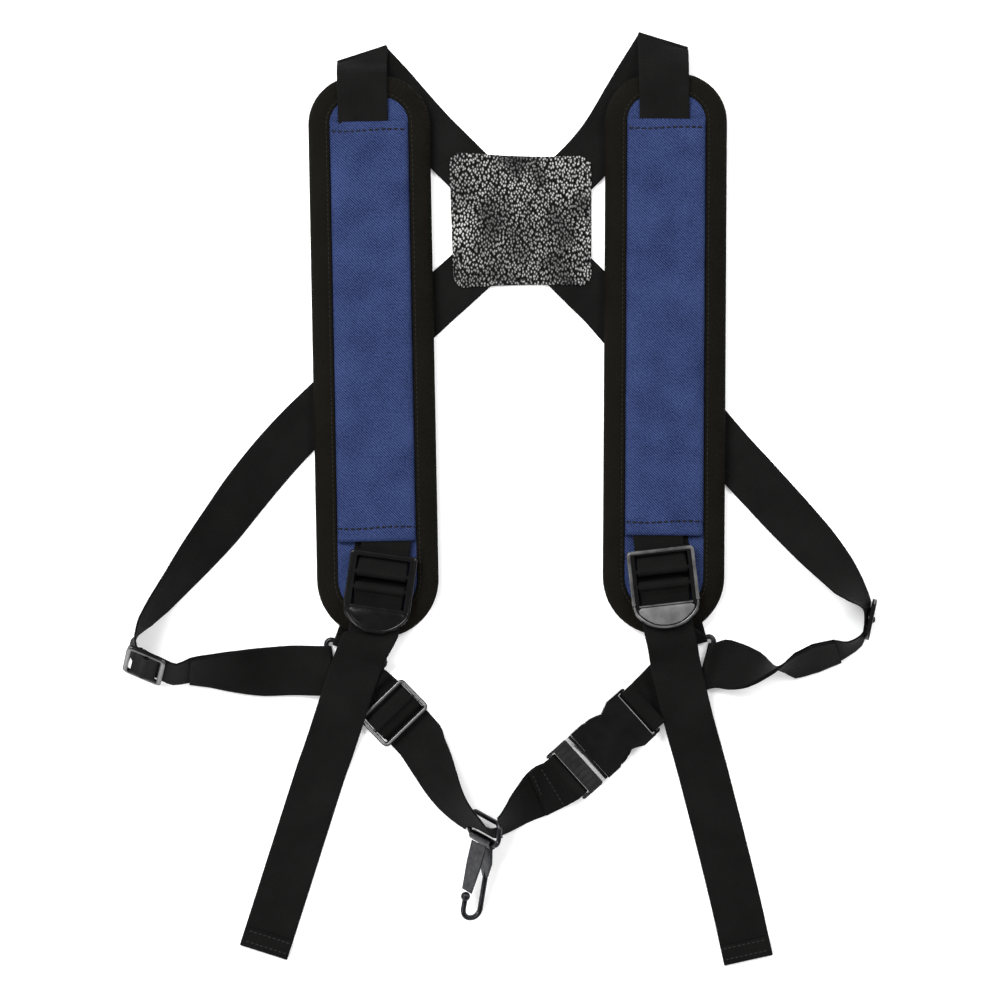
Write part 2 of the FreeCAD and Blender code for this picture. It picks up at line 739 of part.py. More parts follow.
def buckle_frame():
    """Buckle axis, left direction and centre."""
    forward, left, _ = heading_frame(BUCKLE_HEADING)
    return forward, left, Vector(*BUCKLE_CENTRE, BUCKLE_Z)



def latch_entry():
    """Point just before the latch's bar, level with the underside of its loop."""
    forward, _, centre = buckle_frame()
    return centre + forward * (LATCH_BAR - 6.0) - UP * LATCH_LOOP


def latch_loop(last):
    """Webbing turned round the latch's bar and sewn back over itself."""
    forward, _, centre = buckle_frame()
    across = last[1]
    radius = LATCH_LOOP
    bar = centre + forward * LATCH_BAR
    result = []
    for angle in range(-90, 91, 30):
        a = math.radians(angle)
        radial = forward * math.cos(a) + UP * math.sin(a)
        result.append((bar + radial * radius, across, radial * (-WEB_THICK / 2)))
    over = bar - forward * 5 + UP * radius
    result.append((over, across, UP * (-WEB_THICK / 2)))
    return result


def buckle_webbing():
    """Short webbing from the right ring round the socket's bar."""
    middle, outward = ring_side("right", 1)
    radius = RING_WIRE + WEB_GAP + WEB_THICK / 2
    forward, _, centre = buckle_frame()
    back = forward * -1
    bar = centre + forward * SOCKET_BAR
    loop = LATCH_LOOP
    low = middle - UP * radius
    start_heading = math.degrees(math.atan2(outward.y, outward.x))
    on_table = bar + forward * 8 - UP * (BUCKLE_Z - TABLE_LAYER)
    lower = route(
        [(*low, 0), (*on_table, 0), (*(bar - UP * loop), 0)],
        headings={0: start_heading, -1: BUCKLE_HEADING + 180},
    )
    across = lower[-1][1]
    around = []
    for angle in range(-60, 91, 30):
        a = math.radians(angle)
        radial = back * math.cos(a) + UP * math.sin(a)
        around.append((bar + radial * loop, across, radial * (-WEB_THICK / 2)))
    upper = [(bar + forward * 8 + UP * loop, across, UP * (-WEB_THICK / 2))]
    ring = ring_wrap("right", 1, lower[0][1], lower[0][2] * -1, from_below=False)
    return webbing(ring[1:-1] + lower + around + upper)


def buckle_place(shape):
    """Put a buckle piece in its place."""
    forward, left, centre = buckle_frame()
    return placed(shape, centre, forward, left)


def buckle_socket():
    """Female body: hollow shell with side windows, rear rails and a webbing bar."""
    half_w = BUCKLE_WIDTH / 2
    half_t = BUCKLE_THICK / 2
    front = SOCKET_MOUTH
    rear = SOCKET_BAR - BAR_TO_BODY
    waist = half_w - 4.5
    side = [
        (front, half_w), (-2.0, half_w), (3.0, waist + 1.4), (8.0, waist), (13.0, waist + 1.4),
        (19.0, half_w), (SOCKET_BAR + 1.0, half_w - 0.3), (SOCKET_BAR + 2.4, half_w - 1.4),
    ]
    outline = side + [(x, -y) for x, y in reversed(side)]
    corners = [Vector(x, y, -half_t) for x, y in outline]
    body = Part.Face(Part.makePolygon(corners + corners[:1])).extrude(Vector(0, 0, BUCKLE_THICK))
    inner = BUCKLE_THICK - 3.6
    cavity = Part.makeBox(30.0, BUCKLE_WIDTH - 3.6, inner, Vector(front - 1, -half_w + 1.8, -inner / 2))
    windows = Part.makeBox(16.5, BUCKLE_WIDTH + 4, inner, Vector(-1.0, -half_w - 2, -inner / 2))
    half_window = BUCKLE_WINDOW / 2
    window = Part.makeBox(12.0, BUCKLE_WINDOW, BUCKLE_THICK + 2, Vector(rear, -half_window, -half_t - 1))
    thin = [
        Part.makeBox(12.0, BUCKLE_WIDTH + 2, 4, Vector(rear + 1.5, -half_w - 1, z)) for z in (2.6, -6.6)
    ]
    body = body.cut(cavity).cut(windows).cut(window)
    for piece in thin:
        body = body.cut(piece)
    bar = round_bar((SOCKET_BAR, -half_w + 0.8, 0), (SOCKET_BAR, half_w - 0.8, 0), BUCKLE_BAR)
    return body.fuse(bar).removeSplitter()


def buckle_latch():
    """Male frame: ribbed grip, sloping shoulder, webbing window, bar and centre tongue."""
    half_w = BUCKLE_WIDTH / 2
    half_t = BUCKLE_THICK / 2
    grip_start = LATCH_BAR + BAR_TO_BODY
    grip_end = SOCKET_MOUTH - 4.6
    grip = rounded_block(grip_start - 1, grip_end, -half_w, half_w, -half_t + 0.6, half_t - 0.6, 1.5)
    rails = rounded_block(LATCH_BAR - 2.4, grip_end, -half_w, half_w, -3.0, 3.0, 1.4)
    window = Part.makeBox(15.0, BUCKLE_WINDOW, 12.0, Vector(grip_start - 15.0, -BUCKLE_WINDOW / 2, -6.0))
    shape = grip.fuse(rails).cut(window)
    bar = round_bar((LATCH_BAR, -half_w + 0.8, 0), (LATCH_BAR, half_w - 0.8, 0), BUCKLE_BAR)
    tongue = Part.makeBox(26.6, 8.0, 3.0, Vector(grip_end - 0.4, -4.0, -1.5))
    foot = SOCKET_MOUTH - 0.3
    shoulder = [(grip_end - 0.5, 3.0), (foot, 1.2), (foot, -2.4), (grip_end - 0.5, -2.4)]
    slope = polygon_prism(shoulder, "y", -half_w + 0.4, BUCKLE_WIDTH - 0.8)
    shape = shape.fuse(bar).fuse(tongue).fuse(slope)
    for i in range(9):
        y = (i - 4) * 3.9
        groove = Part.makeBox(7.4, 1.3, 1.2, Vector(grip_start + 0.9, y - 0.65, half_t - 1.4))
        shape = shape.cut(groove)
    return shape.removeSplitter()


def buckle_arm():
    """Spring arm with its thumb button, on the +Y side in buckle axes."""
    points = [
        (ARM_ROOT, 12.4), (ARM_ROOT, 15.6), (-6.0, 15.9), (-0.4, 15.9), (0.2, 18.0), (4.0, 17.6),
        (9.0, 16.0), (14.6, 13.4), (14.8, 11.6), (9.0, 12.4), (1.0, 12.6), (-8.0, 12.8),
    ]
    corners = [Vector(x, y, -2.8) for x, y in points]
    return Part.Face(Part.makePolygon(corners + corners[:1])).extrude(Vector(0, 0, 5.6))


# ---------------------------------------------------------------- snap hook

def hook_axes():
    """Eye bar direction, hook axis and the direction from the gate to the spine."""
    bar = heading_frame(EYE_AZIMUTH, EYE_LIFT)[0]
    axis = heading_frame(HOOK_HEADING, HOOK_PITCH)[0]
    axis = (axis - bar * axis.dot(bar)).normalize()
    return bar, axis, bar.cross(axis).normalize()


def hook_place(shape):
    """Local X is the eye bar, local -Y runs down the hook, local -Z is its gate side."""
    bar, axis, _ = hook_axes()
    return placed(shape, EYE_CENTRE, bar * -1, axis * -1)


def hook_eye():
    """D-shaped eye wire with its straight bar at the hook's end."""
    half = EYE_BAR / 2
    corners = [(-half, 0), (half, 0), (half - 1.5, EYE_REACH), (-half + 1.5, EYE_REACH)]
    eye = rounded_wire_loop(corners, 5.0, EYE_WIRE)
    eye.translate(Vector(0, BAR_DROP, 0))
    return hook_place(eye)


def wire_path(points, bend):
    """Open wire path through points in the YZ plane with rounded corners of one radius."""
    spots = [Vector(0, y, z) for y, z in points]
    edges = []
    last = spots[0]
    for i in range(1, len(spots) - 1):
        to_before = (spots[i - 1] - spots[i]).normalize()
        to_after = (spots[i + 1] - spots[i]).normalize()
        half_angle = to_before.getAngle(to_after) / 2
        reach = bend / math.tan(half_angle)
        inward = (to_before + to_after).normalize()
        depth = bend / math.sin(half_angle) - bend
        begin = spots[i] + to_before * reach
        stop = spots[i] + to_after * reach
        edges.append(Part.LineSegment(last, begin).toShape())
        edges.append(Part.Arc(begin, spots[i] + inward * depth, stop).toShape())
        last = stop
    edges.append(Part.LineSegment(last, spots[-1]).toShape())
    return Part.Wire(edges)


def hook_body():
    """Sleeve round the eye bar, tapered shank plate and the bent wire of the hook."""
    barrel = Part.makeCylinder(EYE_WIRE + 1.5, 24.0, Vector(-12.0, BAR_DROP, 0), Vector(1, 0, 0))
    bore = Part.makeCylinder(EYE_WIRE + 0.3, 30.0, Vector(-15.0, BAR_DROP, 0), Vector(1, 0, 0))
    spine = HOOK_SPREAD / 2
    low = BAR_DROP - SHANK_LENGTH
    plate = [
        (-7.5, BAR_DROP - 1), (7.5, BAR_DROP - 1), (7.0, low + 10),
        (2.2, low), (-2.2, low), (-7.0, low + 10),
    ]
    corners = [Vector(x, y, 1.2) for x, y in plate]
    shank = Part.Face(Part.makePolygon(corners + corners[:1])).extrude(Vector(0, 0, 1.8))
    slope = math.degrees(math.atan2(spine - 2.1, SHANK_LENGTH - 1))
    shank.rotate(Vector(0, BAR_DROP - 1, 2.1), Vector(1, 0, 0), -slope)
    end = BAR_DROP - HOOK_LENGTH + HOOK_WIRE
    tip = BAR_DROP - GATE_TIP - HOOK_WIRE
    path = wire_path([(low + 4, spine), (end, spine), (end, -spine), (tip, -spine)], HOOK_SPREAD / 2 - 0.4)
    start = path.Vertexes[0].Point
    profile = Part.Wire(Part.makeCircle(HOOK_WIRE, start, Vector(0, -1, 0)))
    wire = path.makePipeShell([profile], True, False)
    ball = Part.makeSphere(HOOK_WIRE + 1.3, Vector(0, tip, -spine))
    return hook_place(barrel.fuse(shank).fuse(wire).cut(bore).fuse(ball).removeSplitter())


def hook_gate():
    """Leaf spring from the barrel down to the ball at the hook's tip."""
    spine = HOOK_SPREAD / 2
    root_y = BAR_DROP - 2.7
    root_z = -2.4
    reach = GATE_TIP - 2.7 - 1.5
    slope = math.degrees(math.atan2(spine - 0.4 + root_z, reach))
    outline = [
        Vector(-8.5, 0, 0), Vector(8.5, 0, 0), Vector(8.0, -14, 0),
        Vector(5.5, -reach, 0), Vector(-5.5, -reach, 0), Vector(-8.0, -14, 0),
    ]
    leaf = Part.Face(Part.makePolygon(outline + outline[:1])).extrude(Vector(0, 0, 0.9))
    leaf.rotate(Vector(0, 0, 0), Vector(1, 0, 0), slope)
    leaf.translate(Vector(0, root_y, root_z - 0.45))
    return hook_place(leaf)


# ---------------------------------------------------------------- tails

def tail_left():
    """Free end of the left adjuster webbing, lying towards the lower left."""
    start = lock_point("left", LOCK_LENGTH + 1.0, TAIL_LAYER_Z)
    return tail([
        (*start, 0), (-86.4, -94.0, 14.9, 0), (-91.4, -105.0, 8.4, 0), (-97.2, -121.0, 7.8, 0),
        (-102.6, -138.0, 7.4, 0), (-110.6, -162.0, 2.0, 0), (-115.6, -176.0, TABLE_LAYER, 0),
        (-134.4, -235.0, TABLE_LAYER, 0), (-152.2, -291.0, TABLE_LAYER, 0),
    ], SIDES["left"]["lock_heading"])


def tail_right():
    """Free end of the right adjuster webbing, curving towards the lower right."""
    start = lock_point("right", LOCK_LENGTH + 1.0, TAIL_LAYER_Z)
    return tail([
        (*start, 0), (109.6, -94.0, 13.0, 0), (111.4, -104.6, 8.4, 0), (114.4, -118.0, 7.8, 0),
        (118.6, -136.0, 7.6, 0), (122.6, -151.0, 5.0, 0), (126.4, -164.0, 1.6, 0),
        (130.6, -179.5, TABLE_LAYER, 0), (142.4, -225.6, TABLE_LAYER, 0),
        (150.8, -260.0, TABLE_LAYER, 0), (158.8, -296.0, TABLE_LAYER, 0),
    ], SIDES["right"]["lock_heading"])


def tail(points, start):
    """Webbing along the points with its end folded back over itself as a stitched hem."""
    stations = route(points, headings={0: start})
    centre, across, normal = stations[-1]
    forward = (stations[-1][0] - stations[-2][0]).normalize()
    half_step = LAYER_STEP / 2
    stations.append((centre + forward * 0.8 + UP * half_step, across, forward * -(WEB_THICK / 2)))
    stations.append((centre + UP * LAYER_STEP, across, normal * -1))
    stations.append((centre + UP * LAYER_STEP - forward * 11, across, normal * -1))
    return webbing(stations)


# ---------------------------------------------------------------- assembly

def centred(nodes):
    """Shift all nodes so that the origin is the middle of the harness's lower bounding face."""
    box = FreeCAD.BoundBox()
    for shape in nodes.values():
        box.add(shape.optimalBoundingBox(True, False))
    shift = Vector(-box.Center.x, -box.Center.y, -box.ZMin)
    for shape in nodes.values():
        shape.translate(shift)
    return nodes


def build():
    """Every node of the harness by name."""
    nodes = {}
    for side, data in SIDES.items():
        nodes["pad_binding_" + side] = pad_place(side, pad_binding())
        for name, layer in pad_layers().items():
            nodes[name + "_" + side] = pad_place(side, layer)
        nodes["pad_sleeve_" + side] = pad_place(side, pad_sleeve(*data["sleeve"]))
        nodes["delta_ring_" + side] = delta_ring(side)
        nodes["ladder_lock_" + side] = lock_frame(side)
        nodes["anchor_loop_" + side] = anchor_loop(side)
        nodes["anchor_tongue_" + side] = anchor_tongue(side)
        nodes["adjuster_bight_" + side] = adjuster_bight(side)
        nodes["adjuster_load_" + side] = adjuster_load_end(side)
        nodes["shoulder_strap_" + side] = side_strap(side)
    nodes["adjuster_tail_left"] = tail_left()
    nodes["adjuster_tail_right"] = tail_right()
    for name in GLIDES:
        nodes["slider_" + name] = glide_placed(name, glide_frame())
        nodes["slider_bight_" + name] = glide_placed(name, glide_bight())
    patch_top_z = 0.05 + PATCH_SKIN + 2 * LAYER_STEP + 0.15
    nodes["patch_under"] = patch_leather(0.0)
    nodes["patch_top"] = patch_leather(patch_top_z)
    nodes["front_strap"] = front_strap()
    nodes["buckle_webbing"] = buckle_webbing()
    nodes["buckle_socket"] = buckle_place(buckle_socket())
    nodes["buckle_latch"] = buckle_place(buckle_latch())
    arm = buckle_arm()
    nodes["buckle_arm_upper"] = buckle_place(arm)
    nodes["buckle_arm_lower"] = buckle_place(arm.mirror(Vector(0, 0, 0), Vector(0, 1, 0)))
    nodes["hook_eye"] = hook_eye()
    nodes["hook_body"] = hook_body()
    nodes["hook_gate"] = hook_gate()
    return centred(nodes)


os.makedirs("parts", exist_ok=True)
for node_name, shape in build().items():
    shape.exportStep("parts/" + node_name + ".step")
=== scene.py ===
import itertools
import math

import bmesh
import bpy
import numpy
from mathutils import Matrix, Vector, noise


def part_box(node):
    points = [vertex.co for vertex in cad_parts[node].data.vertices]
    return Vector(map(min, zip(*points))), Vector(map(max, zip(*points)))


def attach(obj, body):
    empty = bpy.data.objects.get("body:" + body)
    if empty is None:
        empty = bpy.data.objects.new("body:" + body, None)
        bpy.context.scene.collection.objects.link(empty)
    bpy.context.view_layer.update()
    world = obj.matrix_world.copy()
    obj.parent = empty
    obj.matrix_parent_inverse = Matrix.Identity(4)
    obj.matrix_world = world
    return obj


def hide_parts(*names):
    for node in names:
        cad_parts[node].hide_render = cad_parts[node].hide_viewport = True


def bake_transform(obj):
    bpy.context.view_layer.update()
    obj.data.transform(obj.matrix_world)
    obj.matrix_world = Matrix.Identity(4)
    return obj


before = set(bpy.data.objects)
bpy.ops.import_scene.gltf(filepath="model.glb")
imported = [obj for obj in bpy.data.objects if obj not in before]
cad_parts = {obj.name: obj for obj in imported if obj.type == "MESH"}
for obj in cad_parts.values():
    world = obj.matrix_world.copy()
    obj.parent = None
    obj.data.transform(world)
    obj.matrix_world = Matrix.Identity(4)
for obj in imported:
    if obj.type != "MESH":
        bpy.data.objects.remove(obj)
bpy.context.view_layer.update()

# Saxophone harness laid flat. Metres, in the frame of the CAD model: +X to its right, +Y to its
# shoulder end, +Z up from the table.

MM = 0.001
SIDES = ("left", "right")
UP = Vector((0, 0, 1))

# Shoulder pads
PAD_TILT = {"left": 1.1, "right": -0.33}
PAD_WIDTH = 78 * MM
PAD_LENGTH = 360 * MM
PAD_LOW_CORNER = 37.5 * MM
PAD_TOP_CORNER = 31 * MM
STITCH_INSET = 11.6 * MM

# Sleeves
SLEEVE_HALF = 24.8 * MM
SLEEVE_RISE = 3.6 * MM
SLEEVE_SKIN = 0.8 * MM
TOP_HEM = 5.8 * MM
LOW_HEM = 8.6 * MM

# Points of a CAD mesh closer than this are one
WELD_GAP = 0.003 * MM

# Webbing: most distance and most turn between its sections, and half of its outline as shares of
# its half width and half thickness
WEB_STEP = 4 * MM
WEB_TURN = math.radians(11)
WEB_PROFILE = [
    (-1.0, 0.0), (-0.992, 0.55), (-0.965, 0.92), (-0.9, 1.0), (-0.84, 0.9), (-0.5, 0.86), (0.0, 0.86),
    (0.5, 0.86), (0.84, 0.9), (0.9, 1.0), (0.965, 0.92), (0.992, 0.55),
]

# Webbing sewn back over itself behind the latch: nearest and furthest reach, least drop below
# the end, and rise above the layer that it lies on
OVERLAP_REACH = (4 * MM, 25 * MM)
OVERLAP_DROP = 2 * MM
OVERLAP_RISE = 1.55 * MM

# Stitch rows, with their distance back from the webbing's end
TAIL_ROWS = (("inner", 1.6 * MM), ("outer", 8.6 * MM))
FRONT_ROWS = (("near", 2.2 * MM), ("far", 11.5 * MM))

# Stitches: length, pitch and width of each kind
WEB_STITCH = (2.3 * MM, 3.1 * MM, 0.55 * MM)
HEAVY_STITCH = (2.3 * MM, 3.1 * MM, 0.75 * MM)
SLEEVE_STITCH = (3.4 * MM, 4.0 * MM, 1.4 * MM)
PATCH_STITCH = (2.6 * MM, 3.4 * MM, 0.6 * MM)

# Direction each ladder lock points, in degrees, and its overhang behind the first bar's axis
LOCK_HEADING = {"left": -98.0, "right": -83.5}
LOCK_BACK = 1.8 * MM

# Half length, half width and corner radius, in millimetres, of the line that a slider's rim follows
GLIDE_RIM = (11.85, 17.95)
GLIDE_CORNER = 2.2

# Sides of the rods that stand for moulded rims
TUBE_SIDES = 12

# Edges sharper than this are rounded on moulded parts, and those flatter than this are dissolved
SHARP_ANGLE = math.radians(28)
FLAT_ANGLE = math.radians(1)

# Back patch
PATCH_CORNER = 8 * MM
PATCH_SKIN = 0.9 * MM
STRAP_ANGLES = (-45.0, 44.0)

# Inset of the patch's seam, in millimetres
PATCH_SEAM = 3.1

# Studio: floor, and the width that the camera frames at its distance from the webbing
FLOOR_HALF = 6
FLOOR_DROP = 0.2 * MM
CAMERA_PLACE = (0.0002, -0.0008, 2.2)
FRAMED_WIDTH = 0.64
FRAMED_DISTANCE = 2.19
SENSOR_WIDTH = 36


# ---------------------------------------------------------------- materials

def socket_value(shader, **values):
    """Set sockets of a Principled shader by name, with _ for a space."""
    for key, value in values.items():
        shader.inputs[key.replace("_", " ")].default_value = value


class Painter:
    """Small helper that builds one procedural material."""

    def __init__(self, name, **values):
        self.material = bpy.data.materials.new(name)
        self.material.use_nodes = True
        self.tree = self.material.node_tree
        self.shader = self.tree.nodes["Principled BSDF"]
        socket_value(self.shader, **values)

    def node(self, kind, **values):
        """Add a node and set its properties."""
        made = self.tree.nodes.new(kind)
        for key, value in values.items():
            setattr(made, key, value)
        return made

    def link(self, out, into):
        """Join an output to an input, or set the input if a plain value is given."""
        if isinstance(out, (int, float)):
            into.default_value = out
        else:
            self.tree.links.new(out, into)

    def maths(self, operation, a, b=0.0):
        """One Math node."""
        made = self.node("ShaderNodeMath", operation=operation)
        self.link(a, made.inputs[0])
        self.link(b, made.inputs[1])
        return made.outputs[0]

    def coordinates(self, use_uv=True):
        """Lengthwise and crosswise coordinates in metres, and the whole vector."""
        source = self.node("ShaderNodeUVMap" if use_uv else "ShaderNodeTexCoord")
        vector = source.outputs["UV" if use_uv else "Object"]
        split = self.node("ShaderNodeSeparateXYZ")
        self.link(vector, split.inputs[0])
        return split.outputs[0], split.outputs[1], vector

    def wave(self, value, pitch):
        """Sine of a coordinate with the given pitch, from 0 to 1."""
        turned = self.maths("MULTIPLY", value, 2 * math.pi / pitch)
        return self.maths("ADD", self.maths("MULTIPLY", self.maths("SINE", turned), 0.5), 0.5)

    def noise(self, vector, size, detail=2.0):
        """Noise with features of about the given size, from 0 to 1."""
        made = self.node("ShaderNodeTexNoise")
        self.link(vector, made.inputs["Vector"])
        made.inputs["Scale"].default_value = 1 / size
        made.inputs["Detail"].default_value = detail
        return made.outputs["Fac"]

    def ramp(self, value, stops):
        """Colour ramp from (position, colour) stops."""
        made = self.node("ShaderNodeValToRGB")
        elements = made.color_ramp.elements
        while len(elements) < len(stops):
            elements.new(0.5)
        for element, (position, colour) in zip(elements, stops):
            element.position = position
            element.color = (*colour, 1.0)
        self.link(value, made.inputs["Fac"])
        return made.outputs["Color"]

    def mix(self, factor, a, b):
        """Blend of two numbers."""
        made = self.node("ShaderNodeMix")
        self.link(factor, made.inputs["Factor"])
        self.link(a, made.inputs["A"])
        self.link(b, made.inputs["B"])
        return made.outputs["Result"]

    def bump(self, height, distance):
        """Bump from a height of 0 to 1 that stands for the distance in metres."""
        made = self.node("ShaderNodeBump")
        made.inputs["Strength"].default_value = 1.0
        made.inputs["Distance"].default_value = distance
        self.link(height, made.inputs["Height"])
        self.link(made.outputs["Normal"], self.shader.inputs["Normal"])

    def colour(self, out):
        """Use a colour output as the base colour."""
        self.link(out, self.shader.inputs["Base Color"])

    def roughness(self, out):
        """Use a number output as the roughness."""
        self.link(out, self.shader.inputs["Roughness"])


def webbing_material():
    """Black woven webbing: fine ribs across, yarn columns along, matt with a faint sheen."""
    p = Painter("black_webbing", Sheen_Weight=0.01, Sheen_Roughness=0.4, Specular_IOR_Level=0.05)
    across, along, vector = p.coordinates()
    column = p.wave(across, 1.45 * MM)
    offset = p.maths("MULTIPLY", p.maths("GREATER_THAN", column, 0.5), 0.5 * MM)
    weft = p.wave(p.maths("ADD", along, offset), 1.0 * MM)
    weave = p.maths("MULTIPLY", p.maths("ADD", p.maths("MULTIPLY", column, 0.5), 0.5), weft)
    cloud = p.noise(vector, 28 * MM, 3.0)
    lint = p.noise(vector, 1.6 * MM, 2.0)
    tone = p.maths("ADD", p.maths("MULTIPLY", weave, 0.5), p.maths("MULTIPLY", cloud, 0.5))
    p.colour(p.ramp(tone, [(0.15, (0.0012, 0.0012, 0.0011)), (0.85, (0.0085, 0.0085, 0.0083))]))
    p.roughness(p.mix(lint, 0.62, 0.86))
    p.bump(weave, 0.16 * MM)
    return p.material


def twill_material(name, dark, light, pitch, bump):
    """Matt cloth with a fine diagonal twill and soft cloudy variation."""
    p = Painter(name, Specular_IOR_Level=0.04)
    across, along, vector = p.coordinates()
    diagonal = p.wave(p.maths("ADD", across, along), pitch)
    cross = p.wave(p.maths("SUBTRACT", across, along), pitch * 0.72)
    weave = p.maths("ADD", p.maths("MULTIPLY", diagonal, 0.65), p.maths("MULTIPLY", cross, 0.35))
    cloud = p.noise(vector, 24 * MM, 2.0)
    fleck = p.noise(vector, 1.3 * MM, 1.0)
    tone = p.maths("ADD", p.maths("MULTIPLY", weave, 0.42), p.maths("MULTIPLY", cloud, 0.24))
    tone = p.maths("ADD", tone, p.maths("MULTIPLY", fleck, 0.34))
    p.colour(p.ramp(tone, [(0.3, dark), (0.7, light)]))
    p.roughness(p.mix(cloud, 0.72, 0.9))
    p.bump(weave, bump)
    return p.material


def leather_material():
    """Black pebbled leather, glossier on the raised grain, with painted highlights: the pebble tops are
    coloured light grey.
    """
    p = Painter("patch_leather", Specular_IOR_Level=0.14)
    _, _, vector = p.coordinates()
    turned = p.node("ShaderNodeMapping")
    turned.inputs["Rotation"].default_value = (0, 0, math.radians(38))
    turned.inputs["Scale"].default_value = (1.0, 0.68, 1.0)
    p.link(vector, turned.inputs["Vector"])
    vector = turned.outputs["Vector"]
    warp = p.node("ShaderNodeTexNoise")
    p.link(vector, warp.inputs["Vector"])
    warp.inputs["Scale"].default_value = 160
    shifted = p.node("ShaderNodeVectorMath", operation="MULTIPLY_ADD")
    p.link(warp.outputs["Color"], shifted.inputs[0])
    shifted.inputs[1].default_value = (0.7 * MM,) * 3
    p.link(vector, shifted.inputs[2])
    cells = p.node("ShaderNodeTexVoronoi", feature="SMOOTH_F1", voronoi_dimensions="2D")
    p.link(shifted.outputs[0], cells.inputs["Vector"])
    cells.inputs["Scale"].default_value = 600
    cells.inputs["Smoothness"].default_value = 0.15
    cells.inputs["Randomness"].default_value = 0.8
    spread = p.maths("MULTIPLY", cells.outputs["Distance"], cells.outputs["Distance"])
    pebble = p.maths("SUBTRACT", 1.0, p.maths("MULTIPLY", spread, 2.2))
    # Patchy strength of the painted highlights on the pebble tops
    shine = p.noise(vector, 22 * MM, 2.0)
    painted_highlight = p.maths("MULTIPLY", pebble, p.maths("ADD", shine, 0.45))
    dark, highlight_grey, bright = (0.0006, 0.0006, 0.0006), (0.07, 0.07, 0.068), (0.36, 0.36, 0.35)
    # Pebble tops painted light grey as highlights; the hollows stay near black
    p.colour(p.ramp(painted_highlight, [(0.5, dark), (0.8, highlight_grey), (1.0, bright)]))
    p.roughness(p.mix(pebble, 0.5, 0.27))
    p.bump(pebble, 0.62 * MM)
    return p.material


def plastic_material(name, dark, light, gloss):
    """Moulded plastic, satin, with a fine spark-eroded grain."""
    p = Painter(name, Specular_IOR_Level=gloss)
    _, _, vector = p.coordinates(use_uv=False)
    grain = p.noise(vector, 0.45 * MM, 2.0)
    smear = p.noise(vector, 9 * MM, 3.0)
    p.colour(p.ramp(smear, [(0.3, (dark,) * 3), (0.7, (light,) * 3)]))
    p.roughness(p.mix(smear, 0.12, 0.24))
    p.bump(grain, 0.04 * MM)
    return p.material


def steel_material():
    """Black-nickel plated steel with faint drawing marks."""
    p = Painter("hook_steel", Metallic=1.0)
    _, _, vector = p.coordinates(use_uv=False)
    smear = p.noise(vector, 4 * MM, 3.0)
    fine = p.noise(vector, 0.4 * MM, 2.0)
    p.colour(p.ramp(smear, [(0.3, (0.015, 0.015, 0.017)), (0.7, (0.04, 0.04, 0.044))]))
    p.roughness(p.mix(fine, 0.2, 0.36))
    p.bump(fine, 0.03 * MM)
    return p.material


def thread_material(name, dark, light):
    """Twisted sewing thread."""
    p = Painter(name, Specular_IOR_Level=0.2)
    _, _, vector = p.coordinates(use_uv=False)
    strand = p.noise(vector, 0.5 * MM, 2.0)
    p.colour(p.ramp(strand, [(0.3, dark), (0.7, light)]))
    p.roughness(p.mix(strand, 0.5, 0.8))
    p.bump(strand, 0.1 * MM)
    return p.material


def mesh_material():
    """Black spacer mesh on the pads' undersides."""
    p = Painter("backing_mesh", Specular_IOR_Level=0.3)
    _, _, vector = p.coordinates()
    cells = p.node("ShaderNodeTexVoronoi", feature="F1")
    p.link(vector, cells.inputs["Vector"])
    cells.inputs["Scale"].default_value = 420
    cells.inputs["Randomness"].default_value = 0.15
    hole = cells.outputs["Distance"]
    p.colour(p.ramp(hole, [(0.25, (0.004, 0.004, 0.004)), (0.45, (0.03, 0.03, 0.03))]))
    p.roughness(p.mix(hole, 0.7, 0.9))
    p.bump(hole, 0.4 * MM)
    return p.material


WEBBING = webbing_material()
BLUE = twill_material("blue_twill", (0.0015, 0.0035, 0.02), (0.038, 0.058, 0.152), 1.75 * MM, 0.2 * MM)
BINDING = twill_material(
    "binding_tape", (0.001, 0.0009, 0.0005), (0.0078, 0.0071, 0.005), 1.4 * MM, 0.15 * MM,
)
BACKING = mesh_material()
LEATHER = leather_material()
PLASTIC = plastic_material("buckle_plastic", 0.001, 0.003, 0.26)
GRIP = plastic_material("grip_plastic", 0.005, 0.014, 0.5)
# Lighter grey plastic: painted highlight on the rims of the sliders and the right ladder lock
HIGHLIGHT_PLASTIC = plastic_material("painted_highlight_plastic", 0.03, 0.10, 0.5)
# Light grey plastic: painted reflection on the right ladder lock's pull tab
REFLECTION_PLASTIC = plastic_material("painted_reflection_plastic", 0.07, 0.13, 0.5)
STEEL = steel_material()
DARK_THREAD = thread_material("dark_thread", (0.0006, 0.0008, 0.002), (0.002, 0.0025, 0.006))
GREY_THREAD = thread_material("grey_thread", (0.004, 0.004, 0.004), (0.02, 0.02, 0.02))
BROWN_THREAD = thread_material("brown_thread", (0.005, 0.0045, 0.003), (0.016, 0.014, 0.01))


# ---------------------------------------------------------------- pieces

def add_piece(name, verts, faces, materials, uvs=None, indices=None):
    """New smooth mesh object with its materials and UVs by vertex."""
    mesh = bpy.data.meshes.new(name)
    mesh.from_pydata([tuple(v) for v in verts], [], faces)
    for material in materials:
        mesh.materials.append(material)
    if indices:
        for polygon, index in zip(mesh.polygons, indices):
            polygon.material_index = index
    if uvs:
        layer = mesh.uv_layers.new(name="UVMap")
        for loop in mesh.loops:
            layer.data[loop.index].uv = uvs[loop.vertex_index]
    mesh.polygons.foreach_set("use_smooth", [True] * len(mesh.polygons))
    tidy = bmesh.new()
    tidy.from_mesh(mesh)
    bmesh.ops.recalc_face_normals(tidy, faces=tidy.faces)
    tidy.to_mesh(mesh)
    tidy.free()
    piece = bpy.data.objects.new(name, mesh)
    bpy.context.scene.collection.objects.link(piece)
    return piece


